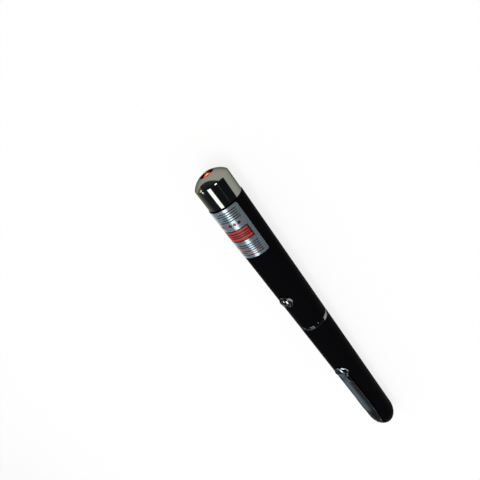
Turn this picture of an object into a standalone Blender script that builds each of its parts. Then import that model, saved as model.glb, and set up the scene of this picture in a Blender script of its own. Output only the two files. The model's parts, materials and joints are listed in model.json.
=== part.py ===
# Pen-type laser pointer: chromed nose, two black barrels, push button and pocket clip,
# and inside them the laser module, its driver board and two AAA cells.
# Metres, +Z up. The pen lies along X, nose towards +X, button on top, resting on its underside.
# Places along the pen are given as distances behind the nose.

import math

import bmesh
import bpy
from mathutils import Matrix, Vector

for old in list(bpy.data.objects):
    bpy.data.objects.remove(old)

# Gaps between neighbours
SEAT_GAP = 0.00015  # pieces that rest against each other
PRESS_GAP = 0.0001  # round pieces pressed or glued into a bore
SEAM = 0.0001  # each side of the centre ring
TOUCH_GAP = 0.00005  # button foot over the switch plunger
OVERRUN = 0.001  # how far a cutter runs past what it cuts
MERGE_DISTANCE = 0.00000001  # points nearer than this are one point

# Cells, which set the bore
CELL_COUNT = 2
CELL_LENGTH = 0.0445
CELL_RADIUS = 0.00525
CELL_CLEARANCE = 0.0002
CELL_EDGE = 0.0005  # rounded edge of the can's base
JACKET_THICKNESS = 0.0002
JACKET_SHORT = 0.0006  # bare can beyond the jacket at each end
CAN_SHOULDER = 0.0003
NUB_RADIUS = 0.00195
NUB_HEIGHT = 0.0010
NUB_EDGE = 0.00015

# Barrels
BARREL_SIDES = 48
TAIL_WALL = 0.0010
TAPER_RISE = 0.00115  # how much more radius the barrel has at its front end than at its tail
FRONT_WALL = 0.00065  # thinnest wall of the front barrel
BARREL_EDGE = 0.00012  # broken edge at the barrel's front
TAIL_DOME_LENGTH = 0.0100
DOME_STEPS = 10

# Chromed nose
DOME_HEIGHT = 0.0025
HEAD_SIDE = 0.0094
HEAD_STEP = 0.0002  # how far the nose lies below the barrel's skin
HEAD_EDGE = 0.0004
HEAD_SPIGOT = 0.0055
HEAD_SPIGOT_GAP = 0.00015
APERTURE_RADIUS = 0.0029
APERTURE_EDGE = 0.00015
NOSE_WALL = 0.0032
FACE_STEPS = 6

# Laser module in the nose
MODULE_RADIUS = 0.00505
MODULE_LENGTH = 0.01765
MODULE_WALL = 0.0008
MODULE_FRONT_BORE = 0.00975
MODULE_WEB = 0.0028
DIODE_FLANGE_RADIUS = 0.0028
DIODE_FLANGE_THICKNESS = 0.0012
DIODE_CAN_RADIUS = 0.00235
DIODE_CAN_LENGTH = 0.0022
DIODE_LEAD_RADIUS = 0.000225
DIODE_LEAD_SPREAD = 0.0009
DIODE_LEAD_LAP = 0.0025  # how far the leads lie along the board
LENS_RADIUS = 0.0030
LENS_EDGE_THICKNESS = 0.0013
LENS_CROWN = 0.0009
LENS_LIP = 0.0005  # how far the holder's front lip covers the lens
HOLDER_LIP_THICKNESS = 0.0011
HOLDER_LENGTH = 0.0050
RING_THICKNESS = 0.0006
RING_SPAN = 0.0006
LENS_SPRING_WIRE = 0.0002  # radius of the wire
LENS_SPRING_TURNS = 4
ROUND_SIDES = 32

# Button, bezel and switch, one above the other
BUTTON_BEHIND_HEAD = 0.0499
BUTTON_RADIUS = 0.0021
BUTTON_PLAY = 0.00015
BUTTON_RISE = 0.0013  # crown of the button above the barrel's skin
BUTTON_CROWN = 0.0008
BEZEL_WALL = 0.0003
BEZEL_OVERLAP = 0.0003
BEZEL_RISE = 0.00055
BEZEL_EDGE = 0.00025
SADDLE_GAP = 0.00005
FLANGE_CATCH = 0.0002
FLANGE_CLEARANCE = 0.00025
FLANGE_PLAY = 0.0003
FLANGE_THICKNESS = 0.0006
FOOT_RADIUS = 0.0012
FOOT_HEIGHT = 0.0002
PLUNGER_RISE = 0.0009
PLUNGER_DEPTH = 0.0010
PLUNGER_WELL = 0.0016
PLUNGER_PLAY = 0.00015
SWITCH_SIDE = 0.0045
SWITCH_HEIGHT = 0.0028
COVER_THICKNESS = 0.00015
COVER_SKIRT = 0.0012
SMALL_SIDES = 24

# Driver board and its tray
BOARD_THICKNESS = 0.0010
BOARD_MARGIN = 0.00015  # board beyond the switch
BOARD_SIDE_GAP = 0.0005
BOARD_HEAD_GAP = 0.0004
TRAY_WALL = 0.0007
TRAY_START_GAP = 0.0030
TRANSISTOR_SIZE = (0.0029, 0.0015, 0.0010)
RESISTOR_SIZE = (0.0013, 0.0020, 0.0005)
CAPACITOR_SIZE = (0.0032, 0.0018, 0.0016)
TRIMMER_SIDE = 0.0032
TRIMMER_BASE = 0.0007
TRIMMER_ROTOR_RADIUS = 0.0012
TRIMMER_ROTOR_HEIGHT = 0.0006
TRIMMER_SLOT = 0.0004
LEG_SIZE = (0.0004, 0.0007, 0.0003)
CHIP_EDGE = 0.0001
TRANSISTOR_SHARE = 0.16  # places along the board between its head and the switch
TRIMMER_SHARE = 0.33
SENSE_RESISTOR_SHARE = 0.48
BASE_RESISTOR_SHARE = 0.60
CAPACITOR_SHARE = 0.76

# Front battery contact
PLATE_THICKNESS = 0.00035
PLATE_RADIUS = 0.0040
SPRING_LENGTH = 0.0016
SPRING_WIRE = 0.0002  # radius of the wire
SPRING_WIDE = 0.0034
SPRING_NARROW = 0.0015
SPRING_TURNS = 2.5
POINTS_PER_TURN = 10

# Ring, coupler and screw thread
RING_BEHIND_BUTTON = 0.01705
RING_WIDTH = 0.0017
RING_INSET = 0.00003
COUPLER_SKIRT = 0.0090
COUPLER_WALL = 0.0005
THREAD_PITCH = 0.00075
THREAD_DEPTH = 0.00035
THREAD_REACH = 0.0048  # threaded length inside the rear barrel
THREAD_CLEARANCE = 0.00015
FLANK_CLEARANCE = 0.0001
THREAD_START = 0.0005
THREAD_RUNOUT = 0.0003
THREAD_STEPS = 24
RIDGE_BASE_SHARE = 0.23  # half widths of the ridge, as shares of the pitch
RIDGE_CREST_SHARE = 0.10

# Tail
TAIL_CONTACT_THICKNESS = 0.0003
TAIL_CONTACT_GAP = 0.0002
PLUG_DEPTH = 0.00515
PLUG_LEDGE = 0.0003
PLUG_LIP = 0.0001

# Foil label
LABEL_BEHIND_EDGE = 0.00045
LABEL_LENGTH = 0.0232
LABEL_FACETS = 17  # how many of the barrel's facets it covers
LABEL_GAP = 0.00003
LABEL_THICKNESS = 0.0001
LABEL_CORNER = 0.0008
CORNER_STEPS = 4

# Pocket clip
CLIP_FACETS_ROUND = 1  # how many of the barrel's facets it stands round from the button
CLIP_ROOT_PAST_DOME = 0.0022
CLIP_LENGTH = 0.0459
CLIP_HALF_WIDTH = 0.00255
CLIP_NECK_HALF_WIDTH = 0.0024
CLIP_BULB_RADIUS = 0.0030
CLIP_NECK_BLEND = 0.0060
CLIP_THICKNESS = 0.0007
CLIP_GAP = 0.0010  # under the strip
CLIP_TOUCH_GAP = 0.0003  # under the bulb
CLIP_ROOT_GAP = 0.0002
CLIP_RISE_LENGTH = 0.0050
CLIP_BEND = 0.0008
CLIP_TAB_HALF_WIDTH = 0.0014
CLIP_TAB_CLEARANCE = 0.0003
CLIP_SECTION_POINTS = 16
CLIP_CORNER_SHARE = 0.55  # below 1 squares the section's corners
CLIP_BEND_STEPS = 5
CLIP_STRIP_STEPS = 12
CLIP_BULB_STEPS = 12
CLIP_TIP_SHARE = 0.97  # where the last section lies in the bulb's half turn

# Radii that follow
BORE = CELL_RADIUS + CELL_CLEARANCE
TAIL_RADIUS = BORE + TAIL_WALL
NOSE_RADIUS = TAIL_RADIUS + TAPER_RISE
HEAD_RADIUS = NOSE_RADIUS - HEAD_STEP

# Places behind the nose that follow, from the nose to the tail
HEAD_SEAT = DOME_HEIGHT + HEAD_SIDE
BARREL_START = HEAD_SEAT + SEAT_GAP
BUTTON_AT = BARREL_START + BUTTON_BEHIND_HEAD
BOARD_END = BUTTON_AT + SWITCH_SIDE / 2 + BOARD_MARGIN
PLATE_START = BOARD_END + SEAT_GAP
SPRING_START = PLATE_START + PLATE_THICKNESS + SEAT_GAP
CELLS_START = SPRING_START + SPRING_LENGTH + SEAT_GAP
CELLS_END = CELLS_START + CELL_COUNT * CELL_LENGTH + (CELL_COUNT - 1) * SEAT_GAP
BORE_END = CELLS_END + SEAT_GAP
PLUG_FACE = BORE_END + TAIL_CONTACT_THICKNESS + SEAT_GAP
PEN_LENGTH = PLUG_FACE + PLUG_DEPTH
DOME_START = PEN_LENGTH - TAIL_DOME_LENGTH
RING_START = BUTTON_AT + RING_BEHIND_BUTTON
FRONT_END = RING_START - SEAM
RING_END = RING_START + RING_WIDTH
REAR_START = RING_END + SEAM
COUPLER_START = RING_START - COUPLER_SKIRT
COUPLER_END = REAR_START + THREAD_REACH


# Radius of the barrels' tapering skin at a place behind the nose.
def skin(place):
    return NOSE_RADIUS - TAPER_RISE * (place - BARREL_START) / (DOME_START - BARREL_START)


# Place behind the nose where the tail's rounded end has a given radius.
def dome_place(radius):
    return DOME_START + TAIL_DOME_LENGTH * math.sqrt(1 - (radius / TAIL_RADIUS) ** 2)


FRONT_BORE = skin(FRONT_END) - FRONT_WALL
BORE_CHAMFER = JACKET_SHORT + SEAT_GAP
PLUG_HOLE = BORE - BORE_CHAMFER - PLUG_LEDGE
CORE_RADIUS = BORE + COUPLER_WALL
CREST_RADIUS = CORE_RADIUS + THREAD_DEPTH
LAND_RADIUS = CORE_RADIUS + THREAD_CLEARANCE

# Heights above the pen's axis of the button, the switch and the board under it
BEZEL_BORE = BUTTON_RADIUS + BUTTON_PLAY
BEZEL_SPIGOT = BEZEL_BORE + BEZEL_WALL
BUTTON_HOLE = BEZEL_SPIGOT + PRESS_GAP
BEZEL_RADIUS = BUTTON_HOLE + BEZEL_OVERLAP
FLANGE_RADIUS = BUTTON_HOLE + FLANGE_CATCH
FLANGE_TOP = math.sqrt((FRONT_BORE - FLANGE_CLEARANCE) ** 2 - FLANGE_RADIUS**2)
FLANGE_BOTTOM = FLANGE_TOP - FLANGE_THICKNESS
FOOT_END = FLANGE_BOTTOM - FOOT_HEIGHT
PLUNGER_TOP = FOOT_END - TOUCH_GAP
SWITCH_TOP = PLUNGER_TOP - PLUNGER_RISE
SWITCH_BOTTOM = SWITCH_TOP - SWITCH_HEIGHT
BOARD_TOP = SWITCH_BOTTOM - PRESS_GAP
BOARD_BOTTOM = BOARD_TOP - BOARD_THICKNESS

# The pen rests on one facet of each barrel, so its axis climbs a little towards the nose
FACET_SHARE = math.cos(math.pi / BARREL_SIDES)
PEN_TILT = math.atan(TAPER_RISE * FACET_SHARE / (DOME_START - BARREL_START))
AXIS_HEIGHT = NOSE_RADIUS * FACET_SHARE * math.cos(PEN_TILT) - (
    PEN_LENGTH / 2 - BARREL_START
) * math.sin(PEN_TILT)
CLIP_TURN = CLIP_FACETS_ROUND * 2 * math.pi / BARREL_SIDES


# X of a place behind the nose, in the pen's own frame.
def x_of(place):
    return PEN_LENGTH / 2 - place


def finish(name, colour, metallic, roughness):
    material = bpy.data.materials.new(name)
    material.use_nodes = True
    shader = material.node_tree.nodes["Principled BSDF"]
    shader.inputs["Base Color"].default_value = (*colour, 1)
    shader.inputs["Metallic"].default_value = metallic
    shader.inputs["Roughness"].default_value = roughness
    material.diffuse_color = (*colour, 1)
    return material


BLACK_PAINT = finish("black_paint", (0.006, 0.006, 0.007), 0, 0.45)
CHROME = finish("chrome", (0.62, 0.64, 0.65), 1, 0.08)
BRASS = finish("brass", (0.62, 0.44, 0.17), 1, 0.30)
STEEL = finish("steel", (0.50, 0.50, 0.51), 1, 0.30)
FOIL = finish("silver_foil", (0.36, 0.42, 0.48), 1, 0.28)
GLASS = finish("lens_glass", (0.60, 0.16, 0.12), 0, 0.03)
BOARD_GREEN = finish("board_laminate", (0.03, 0.16, 0.07), 0, 0.40)
CHIP_BLACK = finish("chip_plastic", (0.015, 0.015, 0.016), 0, 0.50)
TRIMMER_BLUE = finish("trimmer_plastic", (0.03, 0.12, 0.38), 0, 0.40)
TRAY_PLASTIC = finish("tray_plastic", (0.03, 0.03, 0.03), 0, 0.55)
JACKET_FILM = finish("cell_jacket_film", (0.05, 0.09, 0.20), 0, 0.30)
NICKEL = finish("nickel", (0.60, 0.56, 0.50), 1, 0.22)

pen = bpy.data.objects.new("pen_frame", None)
pen.location = (0, 0, AXIS_HEIGHT)
pen.rotation_euler = (0, -PEN_TILT, 0)
bpy.context.collection.objects.link(pen)


# Puts a finished bmesh into the scene as one named object on the pen.
def place_piece(name, bm, material, sharp_degrees=30):
    bmesh.ops.remove_doubles(bm, verts=bm.verts, dist=MERGE_DISTANCE)
    bmesh.ops.recalc_face_normals(bm, faces=bm.faces)
    mesh = bpy.data.meshes.new(name)
    bm.to_mesh(mesh)
    bm.free()
    mesh.shade_smooth()
    mesh.set_sharp_from_angle(angle=math.radians(sharp_degrees))
    mesh.materials.append(material)
    piece = bpy.data.objects.new(name, mesh)
    piece.parent = pen
    bpy.context.collection.objects.link(piece)
    return piece


# Joins rings of points into one closed skin. The rings run from one capped end to the other.
def loft(rings):
    bm = bmesh.new()
    loops = [[bm.verts.new(point) for point in ring] for ring in rings]
    for near, far in zip(loops, loops[1:]):
        for k in range(len(near)):
            after = (k + 1) % len(near)
            bm.faces.new((near[k], near[after], far[after], far[k]))
    bm.faces.new(loops[0])
    bm.faces.new(loops[-1])
    return bm


# Turns an outline round the pen's axis. Each point is a place behind the nose and a radius.
# An outline that starts and ends on the axis is left open there, any other one closes on itself.
def turn_lengthwise(outline, sides):
    points = [(x_of(place), radius) for place, radius in outline]
    return turn(points, sides, Vector((1, 0, 0)), Vector((0, 0, 1)))


# Turns an outline round the button's upright axis. Each point is a height and a radius.
def turn_upright(outline, sides):
    return turn(outline, sides, Vector((0, 0, 1)), Vector((1, 0, 0)))


def turn(points, sides, axis, outward):
    bm = bmesh.new()
    half_step = Matrix.Rotation(math.pi / sides, 3, axis)
    ring = [bm.verts.new(axis * along + half_step @ outward * radius) for along, radius in points]
    edges = [bm.edges.new(pair) for pair in zip(ring, ring[1:])]
    if points[0][1] > 0 or points[-1][1] > 0:
        edges.append(bm.edges.new((ring[-1], ring[0])))
    bmesh.ops.spin(
        bm, geom=ring + edges, cent=(0, 0, 0), axis=axis, angle=2 * math.pi, steps=sides, use_merge=True
    )
    bmesh.ops.remove_doubles(bm, verts=bm.verts, dist=MERGE_DISTANCE)
    bmesh.ops.recalc_face_normals(bm, faces=bm.faces)
    return bm


# A block of a given size about a centre, its edges broken where an edge width is given.
def block(size, centre, edge=0):
    bm = bmesh.new()
    bmesh.ops.create_cube(bm, size=1)
    for corner in bm.verts:
        corner.co = Vector(corner.co[k] * size[k] + centre[k] for k in range(3))
    if edge > 0:
        bmesh.ops.bevel(bm, geom=bm.edges, offset=edge, offset_type="OFFSET", segments=1, affect="EDGES")
    return bm


# A guide solid that only cuts or joins other pieces.
def tool_piece(name, bm):
    piece = place_piece(name, bm, STEEL)
    piece.hide_render = True
    piece.display_type = "WIRE"
    return piece


def combine(piece, tool, operation):
    modifier = piece.modifiers.new(tool.name, "BOOLEAN")
    modifier.operation = operation
    modifier.solver = "EXACT"
    modifier.object = tool


def cut(piece, tool):
    combine(piece, tool, "DIFFERENCE")


def join(piece, tool):
    combine(piece, tool, "UNION")


# Rounded end of the tail, between two radii, as outline points.
def dome_points(from_radius, to_radius, steps):
    start = math.acos(from_radius / TAIL_RADIUS)
    end = math.acos(to_radius / TAIL_RADIUS)
    angles = [start + (end - start) * k / steps for k in range(steps + 1)]
    return [(DOME_START + TAIL_DOME_LENGTH * math.sin(a), TAIL_RADIUS * math.cos(a)) for a in angles]


# Head: shallow domed face, a crisp shoulder, and a spigot that plugs into the front barrel.
def make_head():
    rim = APERTURE_RADIUS + APERTURE_EDGE
    shoulder = HEAD_RADIUS - HEAD_EDGE
    centre = (DOME_HEIGHT**2 + shoulder**2 - rim**2) / (2 * DOME_HEIGHT)
    reach = math.hypot(centre, rim)
    start = math.asin(rim / reach)
    end = math.asin(shoulder / reach)
    angles = [start + (end - start) * k / FACE_STEPS for k in range(FACE_STEPS + 1)]
    face = [(centre - reach * math.cos(a), reach * math.sin(a)) for a in angles]
    spigot = FRONT_BORE - HEAD_SPIGOT_GAP
    bore = MODULE_RADIUS + SEAT_GAP
    outline = face + [
        (DOME_HEIGHT + HEAD_EDGE, HEAD_RADIUS),
        (HEAD_SEAT, HEAD_RADIUS),
        (HEAD_SEAT, spigot),
        (HEAD_SEAT + HEAD_SPIGOT, spigot),
        (HEAD_SEAT + HEAD_SPIGOT, bore),
        (NOSE_WALL, bore),
        (NOSE_WALL, APERTURE_RADIUS),
        (APERTURE_EDGE, APERTURE_RADIUS),
    ]
    place_piece("chrome_head", turn_lengthwise(outline, BARREL_SIDES), CHROME)


# Front barrel: a taper outside, a straight bore inside, and the hole for the button's bezel.
def make_front_barrel():
    outline = [
        (BARREL_START, FRONT_BORE),
        (BARREL_START, skin(BARREL_START) - BARREL_EDGE),
        (BARREL_START + BARREL_EDGE, skin(BARREL_START + BARREL_EDGE)),
        (FRONT_END, skin(FRONT_END)),
        (FRONT_END, FRONT_BORE),
    ]
    barrel = place_piece("front_barrel", turn_lengthwise(outline, BARREL_SIDES), BLACK_PAINT)
    drill_outline = [
        (FLANGE_TOP, 0),
        (FLANGE_TOP, BUTTON_HOLE),
        (NOSE_RADIUS + OVERRUN, BUTTON_HOLE),
        (NOSE_RADIUS + OVERRUN, 0),
    ]
    drill = tool_piece("button_drill", turn_upright(drill_outline, ROUND_SIDES))
    drill.location.x = x_of(BUTTON_AT)
    cut(barrel, drill)


# Label: a thin foil wrapped over the front barrel, with rounded corners.
def make_label():
    start = BARREL_START + LABEL_BEHIND_EDGE
    end = start + LABEL_LENGTH
    facet = 2 * math.pi / BARREL_SIDES
    half_turn = LABEL_FACETS * facet / 2
    corner_turn = LABEL_CORNER / skin(start)
    steps = [corner_turn * (1 - math.cos(math.pi / 2 * k / CORNER_STEPS)) for k in range(CORNER_STEPS + 1)]
    whole = [-half_turn + facet * k for k in range(1, LABEL_FACETS)]
    middle = [turned for turned in whole if abs(turned) < half_turn - corner_turn]
    left = [-half_turn + step for step in steps]
    right = [half_turn - step for step in reversed(steps)]
    rings = []
    for turned in left + middle + right:
        in_corner = max(0, abs(turned) - (half_turn - corner_turn)) / corner_turn
        inset = LABEL_CORNER * (1 - math.sqrt(max(0, 1 - in_corner**2)))
        rings.append(label_section(turned, start + inset, end - inset))
    place_piece("foil_label", loft(rings), FOIL)


# One cut through the label along the barrel: two points under it and two on top.
def label_section(turned, start, end):
    ring = []
    for place, lift in ((start, 0), (end, 0), (end, LABEL_THICKNESS), (start, LABEL_THICKNESS)):
        radius = skin(place) + LABEL_GAP + lift
        ring.append((x_of(place), radius * math.sin(turned), radius * math.cos(turned)))
    return ring


# Bezel: a rim that sits on the barrel like a saddle, with a short spigot through the hole.
def make_bezel():
    top = skin(BUTTON_AT) + BEZEL_RISE
    bottom = FLANGE_TOP + FLANGE_PLAY
    outline = [
        (bottom, BEZEL_BORE),
        (bottom, BEZEL_RADIUS),
        (top - BEZEL_EDGE, BEZEL_RADIUS),
        (top - BEZEL_EDGE / 3, BEZEL_RADIUS - BEZEL_EDGE / 3),
        (top, BEZEL_RADIUS - BEZEL_EDGE),
        (top, BEZEL_BORE + BEZEL_EDGE / 2),
        (top - BEZEL_EDGE / 2, BEZEL_BORE),
    ]
    bezel = place_piece("button_bezel", turn_upright(outline, BARREL_SIDES), CHROME)
    bezel.location.x = x_of(BUTTON_AT)
    reach = BEZEL_RADIUS + OVERRUN
    ends = (BUTTON_AT - reach, BUTTON_AT + reach)
    saddle_outline = [
        (ends[0], 0),
        (ends[0], skin(ends[0]) + SADDLE_GAP),
        (ends[1], skin(ends[1]) + SADDLE_GAP),
        (ends[1], 0),
    ]
    saddle = tool_piece("bezel_saddle", turn_lengthwise(saddle_outline, BARREL_SIDES))
    core_outline = [
        (-NOSE_RADIUS - OVERRUN, 0),
        (-NOSE_RADIUS - OVERRUN, BEZEL_SPIGOT),
        (NOSE_RADIUS + OVERRUN, BEZEL_SPIGOT),
        (NOSE_RADIUS + OVERRUN, 0),
    ]
    core = tool_piece("bezel_core", turn_upright(core_outline, BARREL_SIDES))
    core.location.x = x_of(BUTTON_AT)
    cut(saddle, core)
    cut(bezel, saddle)


# Button: domed cap, a flange that keeps it in, and a foot over the switch plunger.
def make_button():
    top = skin(BUTTON_AT) + BUTTON_RISE
    edge = top - BUTTON_CROWN
    centre = top - (BUTTON_CROWN**2 + BUTTON_RADIUS**2) / (2 * BUTTON_CROWN)
    reach = top - centre
    widest = math.asin(BUTTON_RADIUS / reach)
    angles = [widest * (1 - k / FACE_STEPS) for k in range(1, FACE_STEPS)]
    crown = [(centre + reach * math.cos(a), reach * math.sin(a)) for a in angles]
    outline = [
        (FOOT_END, 0),
        (FOOT_END, FOOT_RADIUS),
        (FLANGE_BOTTOM, FOOT_RADIUS),
        (FLANGE_BOTTOM, FLANGE_RADIUS),
        (FLANGE_TOP, FLANGE_RADIUS),
        (FLANGE_TOP, BUTTON_RADIUS),
        (edge, BUTTON_RADIUS),
        *crown,
        (top, 0),
    ]
    button = place_piece("push_button", turn_upright(outline, ROUND_SIDES), CHROME)
    button.location.x = x_of(BUTTON_AT)


# Switch: a square body with a well, its pressed metal cover, and the plunger in the well.
def make_switch():
    side = SWITCH_SIDE
    body = block((side, side, SWITCH_HEIGHT), (0, 0, (SWITCH_TOP + SWITCH_BOTTOM) / 2), CHIP_EDGE)
    switch = place_piece("switch_body", body, CHIP_BLACK)
    well_radius = FOOT_RADIUS + PLUNGER_PLAY
    well_outline = [
        (SWITCH_TOP - PLUNGER_WELL, 0),
        (SWITCH_TOP - PLUNGER_WELL, well_radius),
        (PLUNGER_TOP, well_radius),
        (PLUNGER_TOP, 0),
    ]
    well = tool_piece("switch_well", turn_upright(well_outline, SMALL_SIDES))
    cut(switch, well)
    outer = side + 2 * (PRESS_GAP + COVER_THICKNESS)
    top = SWITCH_TOP + PRESS_GAP + COVER_THICKNESS
    bottom = SWITCH_TOP - COVER_SKIRT
    shell = block((side, outer, top - bottom), (0, 0, (top + bottom) / 2), COVER_THICKNESS / 3)
    cover = place_piece("switch_cover", shell, STEEL)
    hollow_bottom = bottom - OVERRUN
    hollow_top = SWITCH_TOP + PRESS_GAP
    hollow_size = (side + OVERRUN, side + 2 * PRESS_GAP, hollow_top - hollow_bottom)
    hollow = tool_piece("cover_hollow", block(hollow_size, (0, 0, (hollow_top + hollow_bottom) / 2)))
    cut(cover, hollow)
    cut(cover, well)
    plunger_outline = [
        (SWITCH_TOP - PLUNGER_DEPTH, 0),
        (SWITCH_TOP - PLUNGER_DEPTH, FOOT_RADIUS),
        (PLUNGER_TOP, FOOT_RADIUS),
        (PLUNGER_TOP, 0),
    ]
    plunger = place_piece("switch_plunger", turn_upright(plunger_outline, SMALL_SIDES), TRIMMER_BLUE)
    for piece in (switch, well, cover, hollow, plunger):
        piece.location.x = x_of(BUTTON_AT)


# Laser module: brass housing with a lens bore in front and a seat for the diode behind its web.
def make_module():
    start = NOSE_WALL + SEAT_GAP
    end = start + MODULE_LENGTH
    lens_bore = MODULE_RADIUS - MODULE_WALL
    web_start = start + MODULE_FRONT_BORE
    web_end = web_start + MODULE_WEB
    web_bore = DIODE_CAN_RADIUS + SEAT_GAP
    seat_bore = DIODE_FLANGE_RADIUS + PRESS_GAP
    outline = [
        (start, lens_bore),
        (start, MODULE_RADIUS),
        (end, MODULE_RADIUS),
        (end, seat_bore),
        (web_end, seat_bore),
        (web_end, web_bore),
        (web_start, web_bore),
        (web_start, lens_bore),
    ]
    place_piece("diode_housing", turn_lengthwise(outline, ROUND_SIDES), BRASS)
    make_diode(web_end + SEAT_GAP, end)
    make_lens_group(start + SEAT_GAP, lens_bore - SEAT_GAP, web_start)


# Diode: a can on a flange, with two leads over the board and one under it.
def make_diode(flange_start, housing_end):
    flange_end = flange_start + DIODE_FLANGE_THICKNESS
    outline = [
        (flange_start - DIODE_CAN_LENGTH, 0),
        (flange_start - DIODE_CAN_LENGTH, DIODE_CAN_RADIUS),
        (flange_start, DIODE_CAN_RADIUS),
        (flange_start, DIODE_FLANGE_RADIUS),
        (flange_end, DIODE_FLANGE_RADIUS),
        (flange_end, 0),
    ]
    diode = place_piece("laser_diode", turn_lengthwise(outline, ROUND_SIDES), STEEL)
    lead_end = housing_end + BOARD_HEAD_GAP + DIODE_LEAD_LAP
    above = BOARD_TOP + PRESS_GAP + DIODE_LEAD_RADIUS
    below = BOARD_BOTTOM - PRESS_GAP - DIODE_LEAD_RADIUS
    lead_places = [(DIODE_LEAD_SPREAD, above), (-DIODE_LEAD_SPREAD, above), (0, below)]
    for number, (sideways, height) in enumerate(lead_places):
        lead_outline = [
            (flange_end - DIODE_FLANGE_THICKNESS / 2, 0),
            (flange_end - DIODE_FLANGE_THICKNESS / 2, DIODE_LEAD_RADIUS),
            (lead_end, DIODE_LEAD_RADIUS),
            (lead_end, 0),
        ]
        lead = tool_piece(f"diode_lead_{number}", turn_lengthwise(lead_outline, SMALL_SIDES // 2))
        lead.location = (0, sideways, height)
        join(diode, lead)


# Lens, its holder, the ring that keeps it in, and the spring between holder and web.
def make_lens_group(start, radius, web_start):
    pocket = LENS_RADIUS + PRESS_GAP
    end = start + HOLDER_LENGTH
    lip_end = start + HOLDER_LIP_THICKNESS
    outline = [
        (start, LENS_RADIUS - LENS_LIP),
        (start, radius),
        (end, radius),
        (end, pocket),
        (lip_end, pocket),
        (lip_end, LENS_RADIUS - LENS_LIP),
    ]
    place_piece("lens_holder", turn_lengthwise(outline, ROUND_SIDES), BRASS)
    rim = lip_end + SEAT_GAP
    crown_radius = LENS_RADIUS - LENS_LIP - SEAT_GAP
    reach = (LENS_CROWN**2 + crown_radius**2) / (2 * LENS_CROWN)
    widest = math.asin(crown_radius / reach)
    angles = [widest * k / FACE_STEPS for k in range(FACE_STEPS + 1)]
    centre = rim - LENS_CROWN + reach
    lens_outline = [(centre - reach * math.cos(a), reach * math.sin(a)) for a in angles] + [
        (rim, LENS_RADIUS),
        (rim + LENS_EDGE_THICKNESS, LENS_RADIUS),
        (rim + LENS_EDGE_THICKNESS, 0),
    ]
    place_piece("collimating_lens", turn_lengthwise(lens_outline, ROUND_SIDES), GLASS)
    ring_start = rim + LENS_EDGE_THICKNESS + SEAT_GAP
    ring_outline = [
        (ring_start, LENS_RADIUS - RING_SPAN),
        (ring_start, LENS_RADIUS),
        (ring_start + RING_THICKNESS, LENS_RADIUS),
        (ring_start + RING_THICKNESS, LENS_RADIUS - RING_SPAN),
    ]
    place_piece("lens_ring", turn_lengthwise(ring_outline, ROUND_SIDES), BRASS)
    mean = radius - LENS_SPRING_WIRE - SEAT_GAP
    places = (end + SEAT_GAP, web_start - SEAT_GAP)
    coil("lens_spring", places, (mean, mean), LENS_SPRING_TURNS, LENS_SPRING_WIRE)


# A coil spring between two places, as one unbroken wire that may narrow from end to end.
def coil(name, places, radii, turns, wire):
    start = places[0] + wire
    end = places[1] - wire
    count = round(turns * POINTS_PER_TURN)
    curve = bpy.data.curves.new(name, "CURVE")
    curve.dimensions = "3D"
    curve.bevel_depth = wire
    curve.bevel_resolution = 1
    curve.use_fill_caps = True
    spline = curve.splines.new("POLY")
    spline.points.add(count)
    for k in range(count + 1):
        share = k / count
        angle = 2 * math.pi * turns * share
        radius = radii[0] + (radii[1] - radii[0]) * share
        x = x_of(start + (end - start) * share)
        spline.points[k].co = (x, radius * math.sin(angle), radius * math.cos(angle), 1)
    curve.materials.append(STEEL)
    spring = bpy.data.objects.new(name, curve)
    spring.parent = pen
    bpy.context.collection.objects.link(spring)


# Driver board with its parts, and the half-round tray that holds it in the barrel.
def make_board():
    start = NOSE_WALL + SEAT_GAP + MODULE_LENGTH + BOARD_HEAD_GAP
    length = BOARD_END - start
    half_width = FRONT_BORE - BOARD_SIDE_GAP
    middle = (x_of((start + BOARD_END) / 2), 0, (BOARD_TOP + BOARD_BOTTOM) / 2)
    board = block((length, 2 * half_width, BOARD_THICKNESS), middle, CHIP_EDGE)
    place_piece("circuit_board", board, BOARD_GREEN)
    free_length = BUTTON_AT - SWITCH_SIDE / 2 - start

    def along(share):
        return x_of(start + free_length * share)

    make_transistor(along(TRANSISTOR_SHARE))
    make_trimmer(along(TRIMMER_SHARE))
    make_chip("sense_resistor", RESISTOR_SIZE, along(SENSE_RESISTOR_SHARE))
    make_chip("base_resistor", RESISTOR_SIZE, along(BASE_RESISTOR_SHARE))
    make_chip("smoothing_capacitor", CAPACITOR_SIZE, along(CAPACITOR_SHARE))
    make_tray(start + TRAY_START_GAP)


def make_chip(name, size, x):
    height = BOARD_TOP + PRESS_GAP + size[2] / 2
    return place_piece(name, block(size, (x, 0, height), CHIP_EDGE), CHIP_BLACK)


# Transistor: a chip with two legs on one side and one on the other.
def make_transistor(x):
    transistor = make_chip("driver_transistor", TRANSISTOR_SIZE, x)
    lift = BOARD_TOP + PRESS_GAP + LEG_SIZE[2] / 2
    sideways = TRANSISTOR_SIZE[1] / 2 + LEG_SIZE[1] / 4
    forward = TRANSISTOR_SIZE[0] / 3
    for number, (dx, dy) in enumerate([(forward, sideways), (-forward, sideways), (0, -sideways)]):
        leg = tool_piece(f"transistor_leg_{number}", block(LEG_SIZE, (x + dx, dy, lift)))
        join(transistor, leg)


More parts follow.
